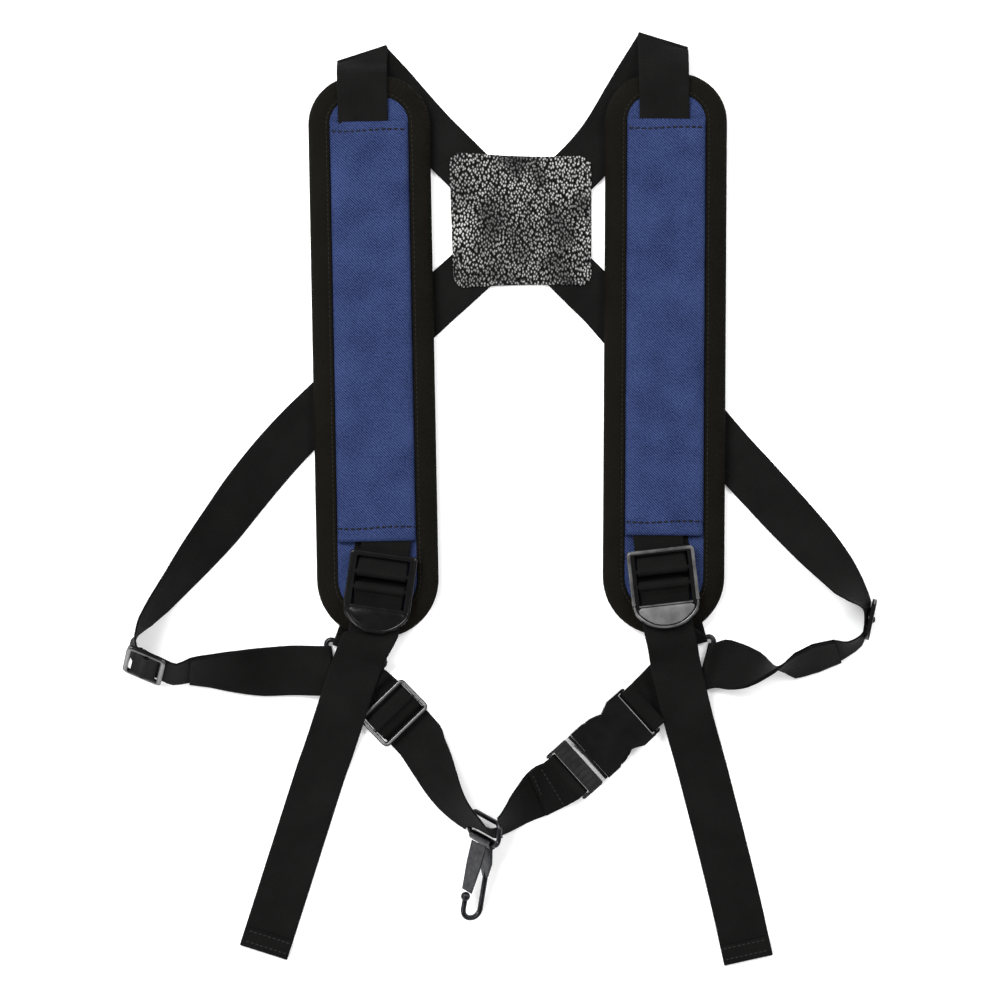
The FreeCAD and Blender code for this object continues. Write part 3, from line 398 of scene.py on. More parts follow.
def ring_faces(count, rings, closed=False):
    """Quads between successive rings of the same number of points."""
    faces = []
    for i in range(rings if closed else rings - 1):
        low, high = i * count, (i + 1) % rings * count
        for k in range(count):
            after = (k + 1) % count
            faces.append((low + k, low + after, high + after, high + k))
    return faces


def grid_faces(columns, rows, start=0):
    """Quads of a grid stored row by row."""
    faces = []
    for j in range(rows - 1):
        for i in range(columns - 1):
            a = start + j * columns + i
            faces.append((a, a + 1, a + columns + 1, a + columns))
    return faces


def rim_faces(columns, rows):
    """Quads that join the rims of two stacked grids."""
    sheet = columns * rows
    rim = list(range(columns)) + [j * columns + columns - 1 for j in range(1, rows)]
    rim += [sheet - 1 - i for i in range(1, columns)] + [j * columns for j in range(rows - 2, 0, -1)]
    return [(a, b, b + sheet, a + sheet) for a, b in zip(rim, rim[1:] + rim[:1])]


def smoothstep(low, high, value):
    """0 below low, 1 above high, smooth between."""
    t = min(max((value - low) / (high - low), 0.0), 1.0)
    return t * t * (3 - 2 * t)


def centre_of(node):
    """Middle of a CAD node's box."""
    low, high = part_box(node)
    return (low + high) / 2


# ---------------------------------------------------------------- webbing

def neighbours(vert):
    """Vertices one edge away."""
    return {edge.other_vert(vert) for edge in vert.link_edges}


def layers_from(first):
    """Successive groups of vertices, each one edge further along the solid."""
    layers = [set(first)]
    seen = set(first)
    while True:
        reach = {near for vert in layers[-1] for near in neighbours(vert)} - seen
        if not reach:
            return layers
        layers.append(reach)
        seen |= reach


def by_index(vert):
    """Sorting key that keeps the choice of a vertex from a set the same in every run."""
    return vert.index


def section_layers(mesh):
    """Groups of the four corners of each cross-section, starting at an end of the webbing."""
    mesh.verts.index_update()
    mesh.verts.ensure_lookup_table()
    for vert in sorted(layers_from([mesh.verts[0]])[-1], key=by_index):
        for face in vert.link_faces:
            for edge in face.edges:
                pair = edge.link_faces
                if len(pair) == 2 and pair[0].normal.dot(pair[1].normal) > 0.9999:
                    layers = layers_from({corner for side in pair for corner in side.verts})
                    if all(len(layer) == 4 for layer in layers):
                        return layers
    raise ValueError("no end found on a webbing solid")


def sections_of(node):
    """Corners of each cross-section of a webbing solid, in matching order along it."""
    mesh = bmesh.new()
    mesh.from_mesh(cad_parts[node].data)
    bmesh.ops.remove_doubles(mesh, verts=mesh.verts, dist=WELD_GAP)
    mesh.normal_update()
    layers = section_layers(mesh)
    first = min(layers[0], key=by_index)
    thin, wide, diagonal = sorted(layers[0] - {first}, key=lambda v: (v.co - first.co).length)
    chain = [(first, wide, diagonal, thin)]
    for layer in layers[1:]:
        before = chain[-1]
        linked = [
            order for order in itertools.permutations(sorted(layer, key=by_index))
            if all(b in neighbours(a) for a, b in zip(before, order))
        ]
        chain.append(min(linked, key=lambda order: sum((b.co - a.co).length for a, b in zip(before, order))))
    corners = [[vert.co.copy() for vert in section] for section in chain]
    mesh.free()
    return corners


def section_gap(a, b):
    """Total distance between two sections' corners."""
    return sum((p - q).length for p, q in zip(a, b))


def joined(*chains):
    """One chain of sections from several, turned so that their ends meet."""
    def middle(section):
        return sum(section, Vector()) / 4

    def to_next(section):
        return min((middle(section) - middle(chains[1][end])).length for end in (0, -1))

    result = list(chains[0])
    if to_next(result[0]) < to_next(result[-1]):
        result.reverse()
    for chain in chains[1:]:
        last = middle(result[-1])
        if (middle(chain[-1]) - last).length < (middle(chain[0]) - last).length:
            chain = chain[::-1]
        orders = [(0, 1, 2, 3), (1, 0, 3, 2), (3, 2, 1, 0), (2, 3, 0, 1)]
        best = min(orders, key=lambda order: section_gap(result[-1], [chain[0][k] for k in order]))
        result += [[section[k] for k in best] for section in chain]
    return result


def stations_of(sections):
    """Middle, half-width vector and half-thickness vector of each section."""
    result = []
    for a, b, c, d in sections:
        result.append(((a + b + c + d) / 4, (a + d - b - c) / 4, (a + b - c - d) / 4))
    return result


def extended(stations, distance):
    """Stations with both ends carried straight on by a distance."""
    (first, a0, n0), (second, _, _) = stations[:2]
    (last, a1, n1), (before, _, _) = stations[-1], stations[-2]
    head = first + (first - second).normalized() * distance
    tail = last + (last - before).normalized() * distance
    return [(head, a0, n0)] + stations + [(tail, a1, n1)]


def tangents(points):
    """Unit direction at each point, led by the longer of its two runs."""
    result = []
    for i, point in enumerate(points):
        step_in = point - points[i - 1] if i else points[1] - points[0]
        step_out = points[i + 1] - point if i < len(points) - 1 else step_in
        result.append((step_in + step_out).normalized())
    return result


def eased(a, b, t):
    """Vector between a and b, keeping their lengths."""
    length = a.length * (1 - t) + b.length * t
    return (a * (1 - t) + b * t).normalized() * length


def smoothed(stations):
    """Closely spaced stations on a smooth curve through the given ones."""
    directions = tangents([centre for centre, _, _ in stations])
    result = []
    for i in range(len(stations) - 1):
        (p, a0, n0), (q, a1, n1) = stations[i], stations[i + 1]
        run = (q - p).length
        turn = max(directions[i].angle(directions[i + 1], 0), n0.angle(n1, 0))
        count = max(1, round(run / WEB_STEP), round(turn / WEB_TURN))
        for k in range(count):
            t = k / count
            h00, h10 = 2 * t**3 - 3 * t**2 + 1, t**3 - 2 * t**2 + t
            h01, h11 = -2 * t**3 + 3 * t**2, t**3 - t**2
            centre = p * h00 + directions[i] * run * h10 + q * h01 + directions[i + 1] * run * h11
            result.append((centre, eased(a0, a1, t), eased(n0, n1, t)))
    return result + [stations[-1]]


def ribbon(name, stations, body="harness", nodes=()):
    """Webbing mesh with rounded selvedges along smooth stations."""
    outline = WEB_PROFILE + [(-s, -h) for s, h in WEB_PROFILE]
    verts, uvs, travelled = [], [], 0.0
    for i, (centre, across, normal) in enumerate(stations):
        if i:
            travelled += (centre - stations[i - 1][0]).length
        for s, h in outline:
            point = centre + across * s + normal * h
            verts.append(Vector((point.x, point.y, max(point.z, 0))))
            uvs.append((across.length * (s + 1), travelled))
    count = len(outline)
    faces = ring_faces(count, len(stations))
    faces.append(tuple(range(count)))
    faces.append(tuple(range(len(verts) - count, len(verts))))
    piece = add_piece(name, verts, faces, [WEBBING], uvs)
    if body:
        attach(piece, body)
    if nodes:
        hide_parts(*nodes)
    return piece


def stitch_row(name, path, material, size=WEB_STITCH):
    """Row of small raised stitches along (point, normal) pairs."""
    length, pitch, width = size
    verts, faces = [], []
    travelled, due = 0.0, pitch / 2
    for (p, n0), (q, n1) in zip(path, path[1:]):
        run = (q - p).length
        while run and due <= travelled + run:
            t = (due - travelled) / run
            middle, normal = p.lerp(q, t), n0.lerp(n1, t).normalized()
            along = (q - p).normalized()
            side = normal.cross(along)
            start = len(verts)
            for reach, girth in ((-0.5, 0.25), (-0.36, 0.9), (0.0, 1.0), (0.36, 0.9), (0.5, 0.25)):
                centre = middle + along * (length * reach) - normal * (width * (0.55 - 0.5 * girth))
                for k in range(6):
                    angle = math.radians(60 * k)
                    spread = side * math.cos(angle) + normal * (math.sin(angle) * 0.8)
                    verts.append(centre + spread * (width * 0.5 * girth))
            faces += [tuple(start + v for v in face) for face in ring_faces(6, 5)]
            faces += [tuple(range(start, start + 6)), tuple(range(start + 24, start + 30))]
            due += pitch
        travelled += run
    piece = add_piece(name, verts, faces, [material])
    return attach(piece, "harness")


def across_web(stations, distance):
    """Path across a webbing's upper face at a distance back from its last station."""
    order = stations[::-1]
    travelled = 0.0
    for (p, a, n), (q, _, _) in zip(order, order[1:]):
        run = (q - p).length
        if travelled + run >= distance:
            face = n if n.z > 0 else -n
            middle = p.lerp(q, (distance - travelled) / run) + face
            return [(middle + a * (k / 8 - 1) * 0.92, face.normalized()) for k in range(17)]
        travelled += run
    return []


def sewn_overlap(stations):
    """The front webbing's end, laid back over itself behind the latch and sewn down."""
    latch = centre_of("buckle_latch")
    end = min((stations[0], stations[-1]), key=lambda s: (s[0] - latch).length)
    low = end[0].z - OVERLAP_DROP
    nearest, furthest = OVERLAP_REACH
    under = [s for s in stations if s[0].z < low and nearest < (s[0] - end[0]).length < furthest]
    under = [s for s in under if (s[0] - latch).length > (end[0] - latch).length]
    under.sort(key=lambda s: (s[0] - end[0]).length)
    lifted = []
    for centre, across, normal in under:
        face = normal if normal.z > 0 else -normal
        lifted.append((centre + face.normalized() * OVERLAP_RISE, across * 0.99, face))
    first = (end[0], lifted[0][1], lifted[0][2])
    return smoothed([first] + lifted[1:])


def build_webbing():
    """Every length of webbing, each one smooth and continuous."""
    for side in SIDES:
        strap = smoothed(stations_of(sections_of("shoulder_strap_" + side)))
        ribbon("shoulder_webbing_" + side, strap, nodes=["shoulder_strap_" + side])
        parts = [n + side for n in ("adjuster_load_", "adjuster_bight_", "adjuster_tail_")]
        adjuster = smoothed(stations_of(joined(*(sections_of(n) for n in parts))))
        piece = ribbon("adjuster_webbing_" + side, adjuster, body=None, nodes=parts)
        for name, back in TAIL_ROWS:
            hem = across_web(adjuster, back)
            stitch_row("tail_stitches_%s_%s" % (name, side), hem, GREY_THREAD, size=HEAVY_STITCH)
        grip = Vector(centre_of("adjuster_bight_" + side))
        grip.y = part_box("adjuster_bight_" + side)[1].y - 4 * MM
        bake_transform(piece)
        anchor = extended(stations_of(sections_of("anchor_loop_" + side)), 8 * MM)
        piece = ribbon("anchor_webbing_" + side, smoothed(anchor), None, ["anchor_loop_" + side])
        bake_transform(piece)
    for name in ("left", "right", "front"):
        bight = smoothed(stations_of(sections_of("slider_bight_" + name)))
        ribbon("slider_webbing_" + name, bight, "slider_" + name, ["slider_bight_" + name])
    short = smoothed(stations_of(sections_of("buckle_webbing")))
    ribbon("buckle_webbing_woven", short, nodes=["buckle_webbing"])
    front = smoothed(stations_of(sections_of("front_strap")))
    ribbon("front_webbing", front, nodes=["front_strap"])
    overlap = sewn_overlap(front)
    ribbon("front_webbing_overlap", overlap)
    for name, back in FRONT_ROWS:
        stitch_row("front_stitches_" + name, across_web(overlap, back), GREY_THREAD, size=HEAVY_STITCH)


# ---------------------------------------------------------------- shoulder pads

PAD_MIDDLE = {side: centre_of("pad_binding_" + side) for side in SIDES}


def outline(half, length, low_corner, top_corner, inset):
    """Closed loop of (x, y) of a rectangle with rounded corners, drawn in by an inset."""
    w, low, high = half - inset, inset, length - inset
    corners = []
    for sx, y, sy, radius, start in (
        (1, low, 1, low_corner, -90), (1, high, -1, top_corner, 0),
        (-1, high, -1, top_corner, 90), (-1, low, 1, low_corner, 180),
    ):
        r = min(max(radius - inset, 0.4 * MM), w)
        arc = []
        for k in range(15):
            angle = math.radians(start + 90 * k / 14)
            arc.append(Vector((sx * (w - r) + r * math.cos(angle), y + sy * r + r * math.sin(angle))))
        corners.append(arc)
    points = []
    for arc, following, count in zip(corners, corners[1:] + corners[:1], (60, 16, 60, 16)):
        points += arc
        points += [arc[-1].lerp(following[0], k / count) for k in range(1, count)]
    return points


def pad_point(side, x, y, z):
    """Point in pad coordinates, origin at the middle of its lower end, moved to its place."""
    middle = PAD_MIDDLE[side]
    turn = math.radians(PAD_TILT[side])
    y -= PAD_LENGTH / 2
    return Vector((
        middle.x + x * math.cos(turn) - y * math.sin(turn),
        middle.y + x * math.sin(turn) + y * math.cos(turn), z,
    ))


def pad_ring(side, inset, z):
    """Ring of points round the pad at an inset and height."""
    loop = outline(PAD_WIDTH / 2, PAD_LENGTH, PAD_LOW_CORNER, PAD_TOP_CORNER, inset)
    return [pad_point(side, p.x, p.y, z) for p in loop]


def waviness(point, size, amount):
    """Slow random rise and fall of a surface."""
    return noise.noise(point / size) * amount


def pad_binding(side, low, top):
    """Edge tape folded round the pad, thinner at its sewn inner edge."""
    profile = [
        (13.8, top - 1.1), (13.75, top - 0.45), (13.3, top - 0.1), (12.3, top - 0.04), (11.6, top - 0.22),
        (10.9, top - 0.02), (8.5, top), (5.8, top - 0.35), (3.4, top - 1.1), (1.5, top - 2.3),
        (0.4, top - 3.7), (0.0, (low + top) / 2), (0.4, low + 2.6), (1.5, low + 1.2), (3.4, low + 0.4),
        (6.0, low + 0.05), (13.0, low), (13.8, low + 0.6),
    ]
    verts, uvs = [], []
    for inset, z in profile:
        for point in pad_ring(side, inset * MM, z * MM):
            point.z += waviness(point, 30 * MM, 0.25 * MM) * (1 if z > low + 4 else 0)
            verts.append(point)
            uvs.append((point.x + point.z, point.y))
    count = len(verts) // len(profile)
    faces = ring_faces(count, len(profile), closed=True)
    piece = add_piece("pad_edge_tape_" + side, verts, faces, [BINDING], uvs)
    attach(piece, "harness")
    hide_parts("pad_binding_" + side)
    for face, height in (("top", top - 0.16), ("under", low)):
        path = [(p, UP if face == "top" else -UP) for p in pad_ring(side, STITCH_INSET, height * MM)]
        stitch_row("tape_stitches_%s_%s" % (face, side), path + path[:1], BROWN_THREAD)


def pad_body(side, low, top):
    """Crowned face cloth over foam, with the mesh backing below."""
    upper = [
        (1.6, (low + top) / 2), (4.0, top - 1.9), (9.0, top - 1.1), (13.6, top - 0.75), (16.0, top - 0.55),
        (20.0, top - 0.42), (26.0, top - 0.4), (32.0, top - 0.4), (38.0, top - 0.4),
    ]
    lower = [(3.0, low + 1.4), (8.0, low + 0.6), (13.6, low + 0.35), (22.0, low + 0.3), (38.0, low + 0.3)]
    profile = list(reversed(lower)) + upper
    verts, uvs = [], []
    for inset, z in profile:
        for point in pad_ring(side, inset * MM, z * MM):
            verts.append(point)
            uvs.append((point.x, point.y))
    count = len(verts) // len(profile)
    faces = ring_faces(count, len(profile))
    indices = [1 if i // count < len(lower) - 1 else 0 for i in range(len(faces))]
    faces += [tuple(range(count)), tuple(range(len(verts) - count, len(verts)))]
    indices += [1, 0]
    piece = add_piece("pad_cushion_" + side, verts, faces, [BLUE, BACKING], uvs, indices)
    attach(piece, "harness")
    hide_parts("pad_face_" + side, "pad_foam_" + side, "pad_backing_" + side)


def sleeve_height(x, y, length):
    """Height of the sleeve's lower surface over the pad's face."""
    arch = (1 - min(abs(x) / SLEEVE_HALF, 1) ** 9) ** 0.5
    mouth = 1 - 0.38 * smoothstep(length - 16 * MM, length, y)
    ripple = noise.noise(Vector((x / (15 * MM), y / (26 * MM), 3.0))) * 1.1 * MM
    lift = 0.35 * MM * math.sin(y / (19 * MM)) * (x / SLEEVE_HALF)
    slack = -abs(ripple + lift) * 1.3 * arch
    return SLEEVE_RISE * arch * mouth + slack * smoothstep(32 * MM, 52 * MM, y)


def pad_sleeve(side):
    """Cloth tunnel sewn over the face, open at both ends, with a stitched hem at each."""
    low_box, high_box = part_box("pad_sleeve_" + side)
    base = low_box.z
    start = low_box.y - (PAD_MIDDLE[side].y - PAD_LENGTH / 2)
    length = high_box.y - low_box.y
    columns, rows = 45, 110
    layers = []
    for skin in (0.0, SLEEVE_SKIN):
        for j in range(rows):
            y = length * j / (rows - 1)
            hem = 0.25 * MM * (1 - smoothstep(0, 1.2 * MM, min(y, length - y)))
            for i in range(columns):
                x = -SLEEVE_HALF * math.cos(math.pi * i / (columns - 1))
                z = base + sleeve_height(x, y, length) + skin - (hem if skin else -hem)
                layers.append(pad_point(side, x, start + y, z))
    faces = [tuple(reversed(f)) for f in grid_faces(columns, rows)]
    faces += grid_faces(columns, rows, columns * rows) + rim_faces(columns, rows)
    uvs = [(p.x, p.y) for p in layers]
    piece = add_piece("sleeve_cloth_" + side, layers, faces, [BLUE], uvs)
    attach(piece, "harness")
    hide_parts("pad_sleeve_" + side)
    for name, y in (("top", length - TOP_HEM), ("low", LOW_HEM)):
        path = []
        for k in range(49):
            x = -SLEEVE_HALF * 0.985 * math.cos(math.pi * k / 48)
            bow = 0.6 * MM * math.sin(3.0 * x / SLEEVE_HALF)
            z = base + sleeve_height(x, y, length) + SLEEVE_SKIN + 0.02 * MM
            path.append((pad_point(side, x, start + y + bow, z), UP))
        row = "sleeve_stitches_%s_%s" % (name, side)
        stitch_row(row, path, DARK_THREAD, SLEEVE_STITCH)


def build_pads():
    """Both shoulder pads."""
    for side in SIDES:
        low_box, high_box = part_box("pad_binding_" + side)
        low, top = low_box.z / MM, high_box.z / MM
        pad_body(side, low, top)
        pad_binding(side, low, top)
        pad_sleeve(side)


# ---------------------------------------------------------------- back patch

def patch_relief(x, y, top):
    """Height of the upper leather square over the crossing straps."""
    clear = min(abs(x * math.sin(a) - y * math.cos(a)) for a in map(math.radians, STRAP_ANGLES))
    drop = 1.4 * MM * smoothstep(18 * MM, 38 * MM, math.hypot(x, y))
    drop += 1.5 * MM * smoothstep(14 * MM, 27 * MM, clear)
    return top - drop + noise.noise(Vector((x, y, 0)) / (17 * MM)) * 0.25 * MM


def patch_square(name, node, upper):
    """Leather square with rounded corners, a stitched margin and a soft edge."""
    low_box, high_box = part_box(node)
    middle = (low_box + high_box) / 2
    width, height = high_box.x - low_box.x, high_box.y - low_box.y
    insets = [0, 0.35, 0.9, 1.8, 2.7, PATCH_SEAM, 3.5, 4.4, 6, 8, *range(11, 42, 3), 42.5]
    layers = []
    for skin in (1, 0):
        rings = insets if skin else insets[::-1]
        for inset in rings:
            for p in outline(width / 2, height, PATCH_CORNER, PATCH_CORNER, inset * MM):
                x, y = p.x, p.y - height / 2
                u, v = x / (width / 2), y / (height / 2)
                bent_y = y - 1.6 * MM * (1 - u * u) * v - 1.4 * MM * u * max(v, -0.6)
                bent_x = x - 1.6 * MM * v * (u < 0) * abs(u)
                level = patch_relief(x, y, high_box.z) if upper else high_box.z
                edge = 0.45 * MM * (1 - smoothstep(0, 0.9, inset))
                groove = 0.4 * MM * math.exp(-((inset - PATCH_SEAM) / 0.6) ** 2)
                z = level - edge - groove if skin else level - PATCH_SKIN + edge * 0.4
                layers.append(Vector((middle.x + bent_x, middle.y + bent_y, max(z, 0))))
    count = len(outline(width / 2, height, PATCH_CORNER, PATCH_CORNER, 0))
    rings = 2 * len(insets)
    half = len(insets)
    order = list(range(half - 1, -1, -1)) + list(range(rings - 1, half - 1, -1))
    verts = [layers[ring * count + k] for ring in order for k in range(count)]
    faces = ring_faces(count, rings)
    faces += [tuple(range(count)), tuple(range(len(verts) - count, len(verts)))]
    piece = add_piece(name, verts, faces, [LEATHER], [(v.x, v.y) for v in verts])
    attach(piece, "harness")
    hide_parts(node)
    seam = verts[(half - 1 - insets.index(PATCH_SEAM)) * count:][:count]
    path = [(p + UP * 0.12 * MM, UP) for p in seam]
    if upper:
        path.append(path[0])
        stitch_row("patch_stitches", path, DARK_THREAD, PATCH_STITCH)


def build_patch():
    """The two leather squares that hold the crossing."""
    patch_square("patch_upper_leather", "patch_top", True)
    patch_square("patch_lower_leather", "patch_under", False)


# ---------------------------------------------------------------- hardware

def finish_node(name, material, bevel=0.0):
    """Give a CAD node its material, and soften its edges."""
    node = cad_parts[name]
    node.data.materials.clear()
    node.data.materials.append(material)
    node.data.polygons.foreach_set("use_smooth", [True] * len(node.data.polygons))
    weld = node.modifiers.new("weld", "WELD")
    weld.merge_threshold = WELD_GAP
    if bevel:
        flat = node.modifiers.new("flat", "DECIMATE")
        flat.decimate_type = "DISSOLVE"
        flat.angle_limit = FLAT_ANGLE
        soft = node.modifiers.new("soft", "BEVEL")
        soft.width = bevel
        soft.segments = 3
        soft.limit_method = "ANGLE"
        soft.angle_limit = SHARP_ANGLE
    normals = node.modifiers.new("normals", "WEIGHTED_NORMAL")
    normals.weight = 80


def lock_axes(side):
    """Origin on the first bar, forward direction and left direction of a ladder lock."""
    turn = math.radians(LOCK_HEADING[side])
    forward = Vector((math.cos(turn), math.sin(turn), 0))
    left = Vector((-math.sin(turn), math.cos(turn), 0))
    points = [v.co for v in bpy.data.objects["ladder_lock_" + side].data.vertices]
    ahead = min(p.dot(forward) for p in points) + LOCK_BACK
    spread = [p.dot(left) for p in points]
    return forward * ahead + left * (min(spread) + max(spread)) / 2, forward, left


def lock_rim(side):
    """Rounded rim that stands round the edge of a ladder lock and its pull tab, lighter grey on the right
    lock as a painted highlight.
    """
    origin, forward, left = lock_axes(side)
    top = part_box("ladder_lock_" + side)[1].z / MM
    half = [
        (-0.9, 9.0), (-0.9, 18.4), (-0.5, 19.9), (0.9, 20.5), (8.0, 20.5), (16.0, 20.5), (24.0, 20.5),
        (31.0, 20.5), (35.0, 20.3), (38.2, 19.2), (41.2, 16.8), (43.8, 13.7), (46.0, 10.0), (47.5, 5.5),
    ]
    loop = [(-0.9, 0.0)] + half + [(48.0, 0.0)] + [(u, -v) for u, v in reversed(half)]
    path = []
    for u, v in loop:
        z = top - 1.25 + 0.35 * smoothstep(30, 36, u)
        path.append(origin + (forward * u + left * v + UP * z) * MM)
    # The right lock's rim and ridge are lighter grey as a painted highlight; the left lock's stay black
    edge = HIGHLIGHT_PLASTIC if side == "right" else PLASTIC
    rim = tube("lock_rim_" + side, path, 1.15 * MM, edge, closed=True)
    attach(rim, "ladder_lock_" + side)
    ridge = []
    for k in range(9):
        v = 17.2 * (k / 4 - 1)
        ridge.append(origin + (forward * 33.6 + left * v + UP * (top - 0.35)) * MM)
    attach(tube("lock_ridge_" + side, ridge, 0.6 * MM, edge), "ladder_lock_" + side)


def lock_plate(side):
    """Flat rounded-triangle face of the pull tab, inside the rim, light grey on the right lock as a painted
    reflection.
    """
    origin, forward, left = lock_axes(side)
    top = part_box("ladder_lock_" + side)[1].z
    half = [(34.6, 16.0), (36.0, 17.9), (38.0, 17.6), (40.6, 15.2), (43.0, 12.2), (45.2, 8.6), (46.3, 4.4)]
    outline_uv = half + [(46.7, 0.0)] + [(u, -v) for u, v in reversed(half)]
    verts = []
    for shrink, height in ((1.0, -0.2), (1.0, 0.12), (0.96, 0.3)):
        for u, v in outline_uv:
            u, v = 39.5 + (u - 39.5) * shrink, v * shrink
            verts.append(origin + (forward * u + left * v) * MM + UP * (top + height * MM))
    count = len(outline_uv)
    faces = ring_faces(count, 3) + [tuple(range(count)), tuple(range(2 * count, 3 * count))]
    # The right lock's tab is light grey as a painted reflection; the left one stays black
    material = REFLECTION_PLASTIC if side == "right" else PLASTIC
    plate = add_piece("lock_plate_" + side, verts, faces, [material])
    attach(plate, "ladder_lock_" + side)


def glide_rim(name):
    """Rounded rim that stands round the edge of a tri-glide slider, lighter grey as a painted highlight."""
    points = numpy.array([v.co for v in bpy.data.objects[name].data.vertices])
    middle = (points.min(axis=0) + points.max(axis=0)) / 2
    _, axes = numpy.linalg.eigh(numpy.cov((points - middle).T))
    normal, along, across = (Vector(axes[:, k]) for k in range(3))
    normal = normal if normal.z > 0 else -normal
    x, y = GLIDE_RIM
    corners = [(x, y, 45), (-x, y, 135), (-x, -y, 225), (x, -y, 315)]
    path = []
    for u, v, facing in corners:
        for turn in (-45, -15, 15, 45):
            angle = math.radians(facing + turn)
            u_off = u - math.copysign(GLIDE_CORNER, u) + GLIDE_CORNER * math.cos(angle)
            v_off = v - math.copysign(GLIDE_CORNER, v) + GLIDE_CORNER * math.sin(angle)
            path.append(Vector(middle) + (along * u_off + across * v_off + normal * 0.25) * MM)
    rim = tube(name + "_rim", straight_filled(path), 1.3 * MM, HIGHLIGHT_PLASTIC, closed=True)
    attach(rim, name)


def straight_filled(path):
    """Closed path with extra points on its long runs, so that a spline keeps them straight."""
    result = []
    for p, q in zip(path, path[1:] + path[:1]):
        steps = max(1, round((q - p).length / (3 * MM)))
        result += [p.lerp(q, k / steps) for k in range(steps)]
    return result


def tube(name, path, radius, material, closed=False):
    """Round rod along a smooth path."""
    points = spline(path, closed)
    verts = []
    for i, point in enumerate(points):
        before = points[i - 1] if i or closed else point
        after = points[(i + 1) % len(points)] if i < len(points) - 1 or closed else point
        along = (after - before).normalized()
        side = along.cross(UP).normalized()
        lift = side.cross(along)
        for k in range(TUBE_SIDES):
            angle = 2 * math.pi * k / TUBE_SIDES
            verts.append(point + (side * math.cos(angle) + lift * math.sin(angle)) * radius)
    faces = ring_faces(TUBE_SIDES, len(points), closed)
    if not closed:
        faces += [tuple(range(TUBE_SIDES)), tuple(range(len(verts) - TUBE_SIDES, len(verts)))]
    return add_piece(name, verts, faces, [material])


def spline(path, closed):
    """Points on a smooth curve through the path."""
    count = len(path)
    result = []
    for i in range(count if closed else count - 1):
        p0 = path[i - 1] if i or closed else path[0]
        p1, p2 = path[i], path[(i + 1) % count]
        p3 = path[(i + 2) % count] if i + 2 < count or closed else path[-1]
        for k in range(5):
            t = k / 5
            square = p0 * 2 - p1 * 5 + p2 * 4 - p3
            cube = p1 * 3 - p0 - p2 * 3 + p3
            result.append((p1 * 2 + (p2 - p0) * t + square * t**2 + cube * t**3) / 2)
    return result if closed else result + [path[-1]]


def lock_shade_sheet(side):
    """Thin black sheet on the pad's face under the ladder lock: painted shade where the raised lock shadows
    the pad.
    """
    origin, forward, left = lock_axes(side)
    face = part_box("pad_face_" + side)[1].z
    low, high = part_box("anchor_tongue_" + side)
    start = Vector(((low.x + high.x) / 2, low.y + 4 * MM, 0))
    end = origin + forward * 27 * MM
    columns, rows = 17, 12
    verts = []
    for skin in (0.05, 0.3):
        for j in range(rows):
            t = j / (rows - 1)
            middle = start.lerp(end, t)
            side_way = Vector((1, 0, 0)).lerp(left if left.x > 0 else -left, t)
            half = 15.6 * MM + 2.7 * MM * smoothstep(0.2, 0.4, t)
            for i in range(columns):
                verts.append(middle + side_way * (half * (i / 8 - 1)) + UP * (face + skin * MM))
    faces = grid_faces(columns, rows) + grid_faces(columns, rows, columns * rows)
    faces += rim_faces(columns, rows)
    uvs = [(v.x, v.y) for v in verts]
    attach(add_piece("lock_underlay_" + side, verts, faces, [WEBBING], uvs), "harness")


def build_hardware():
    """Materials and soft edges for the moulded and metal parts."""
    for side in SIDES:
        lock_rim(side)
        lock_plate(side)
        lock_shade_sheet(side)
        finish_node("delta_ring_" + side, STEEL)
        finish_node("ladder_lock_" + side, PLASTIC, 0.5 * MM)
        finish_node("anchor_tongue_" + side, WEBBING, 0.2 * MM)
    for name in ("slider_left", "slider_right", "slider_front"):
        finish_node(name, PLASTIC, 0.8 * MM)
        glide_rim(name)
    for name in ("buckle_socket", "buckle_arm_upper", "buckle_arm_lower"):
        finish_node(name, PLASTIC, 0.35 * MM)
    finish_node("buckle_latch", GRIP, 0.35 * MM)
    finish_node("hook_eye", STEEL)
    finish_node("hook_body", STEEL, 0.25 * MM)
    finish_node("hook_gate", STEEL, 0.2 * MM)


# ---------------------------------------------------------------- studio

def floor_material():
    """Matt white that glows a little, so that shadows stay faint."""
    white = (0.95, 0.95, 0.95)
    p = Painter("floor_white", Specular_IOR_Level=0.0, Roughness=1.0, Emission_Strength=0.25)
    p.shader.inputs["Emission Color"].default_value = (1, 1, 1, 1)
    _, _, vector = p.coordinates(use_uv=False)
    p.colour(p.ramp(p.noise(vector, 0.2), [(0.0, white), (1.0, white)]))
    return p.material


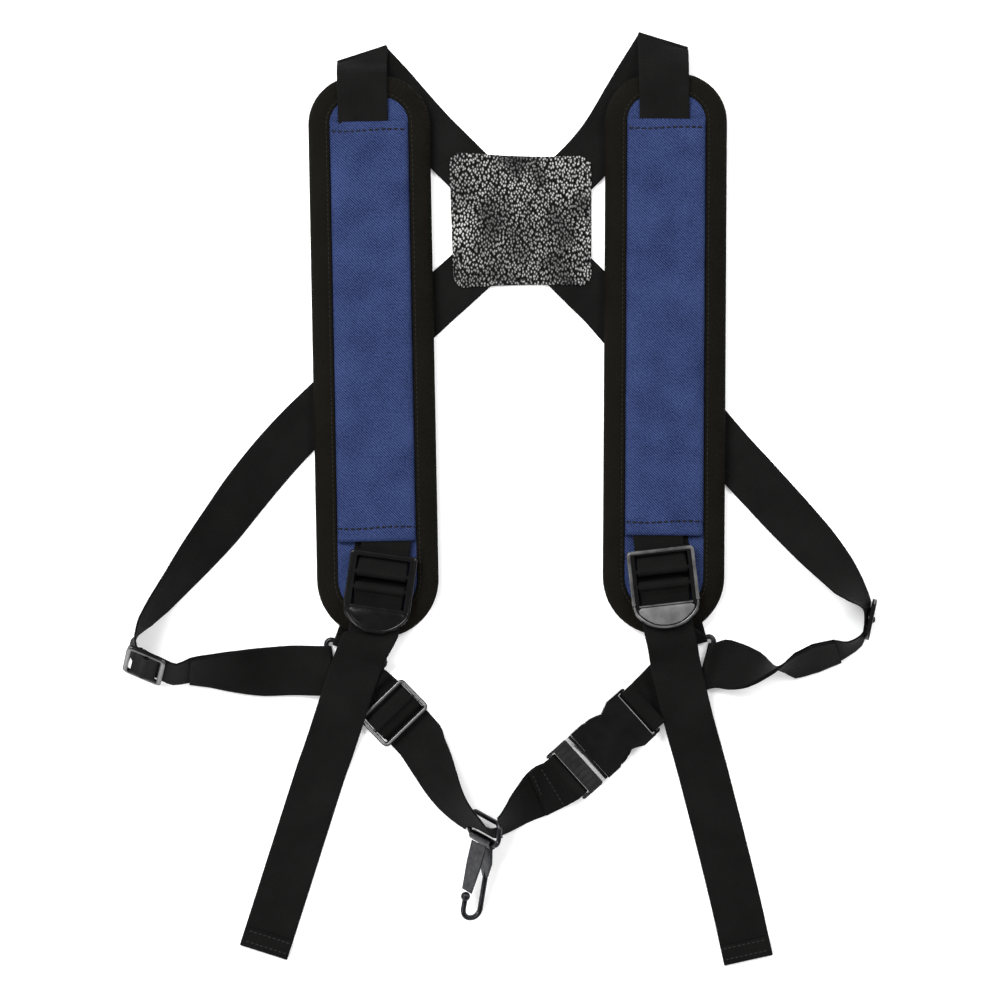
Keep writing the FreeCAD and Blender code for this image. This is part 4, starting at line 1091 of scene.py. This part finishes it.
def area_light(name, place, size, energy):
    """Square area light aimed at the harness."""
    data = bpy.data.lights.new(name, "AREA")
    data.size = size
    data.energy = energy
    light = bpy.data.objects.new(name, data)
    light.location = place
    light.rotation_euler = (-Vector(place)).to_track_quat("-Z", "Y").to_euler()
    bpy.context.scene.collection.objects.link(light)


def studio_world():
    """White surroundings that are dimmer overhead where they light and reflect."""
    world = bpy.data.worlds.new("studio")
    world.use_nodes = True
    tree = world.node_tree
    place = tree.nodes.new("ShaderNodeTexCoord")
    split = tree.nodes.new("ShaderNodeSeparateXYZ")
    ramp = tree.nodes.new("ShaderNodeValToRGB")
    ramp.color_ramp.elements.new(0.5)
    stops = ((0.0, 1.0), (0.2, 0.55), (0.85, 0.25))
    for element, (position, level) in zip(ramp.color_ramp.elements, stops):
        element.position = position
        element.color = (level, level, level, 1)
    path = tree.nodes.new("ShaderNodeLightPath")
    seen = tree.nodes.new("ShaderNodeMath")
    seen.operation = "MAXIMUM"
    tree.links.new(place.outputs["Generated"], split.inputs[0])
    tree.links.new(split.outputs["Z"], ramp.inputs["Fac"])
    tree.links.new(ramp.outputs["Color"], seen.inputs[0])
    tree.links.new(path.outputs["Is Camera Ray"], seen.inputs[1])
    tree.links.new(seen.outputs[0], tree.nodes["Background"].inputs["Color"])
    tree.nodes["Background"].inputs["Strength"].default_value = 1.3
    return world


def build_studio():
    """White floor, soft light from the upper left and a camera straight above."""
    signs = ((-1, -1), (1, -1), (1, 1), (-1, 1))
    corners = [(x * FLOOR_HALF, y * FLOOR_HALF, -FLOOR_DROP) for x, y in signs]
    floor = add_piece("floor", corners, [(0, 1, 2, 3)], [floor_material()])
    area_light("key", (-1.0, 1.05, 1.75), 1.1, 62)
    area_light("fill", (1.09, 0.77, 1.6), 0.7, 24)
    area_light("rim", (-1.2, -1.2, 1.3), 0.4, 14)
    scene = bpy.context.scene
    scene.world = studio_world()
    scene.view_settings.view_transform = "Standard"
    data = bpy.data.cameras.new("camera")
    data.lens = SENSOR_WIDTH * FRAMED_DISTANCE / FRAMED_WIDTH
    camera = bpy.data.objects.new("camera", data)
    camera.location = CAMERA_PLACE
    scene.collection.objects.link(camera)
    scene.camera = camera


build_webbing()
build_pads()
build_patch()
build_hardware()
build_studio()
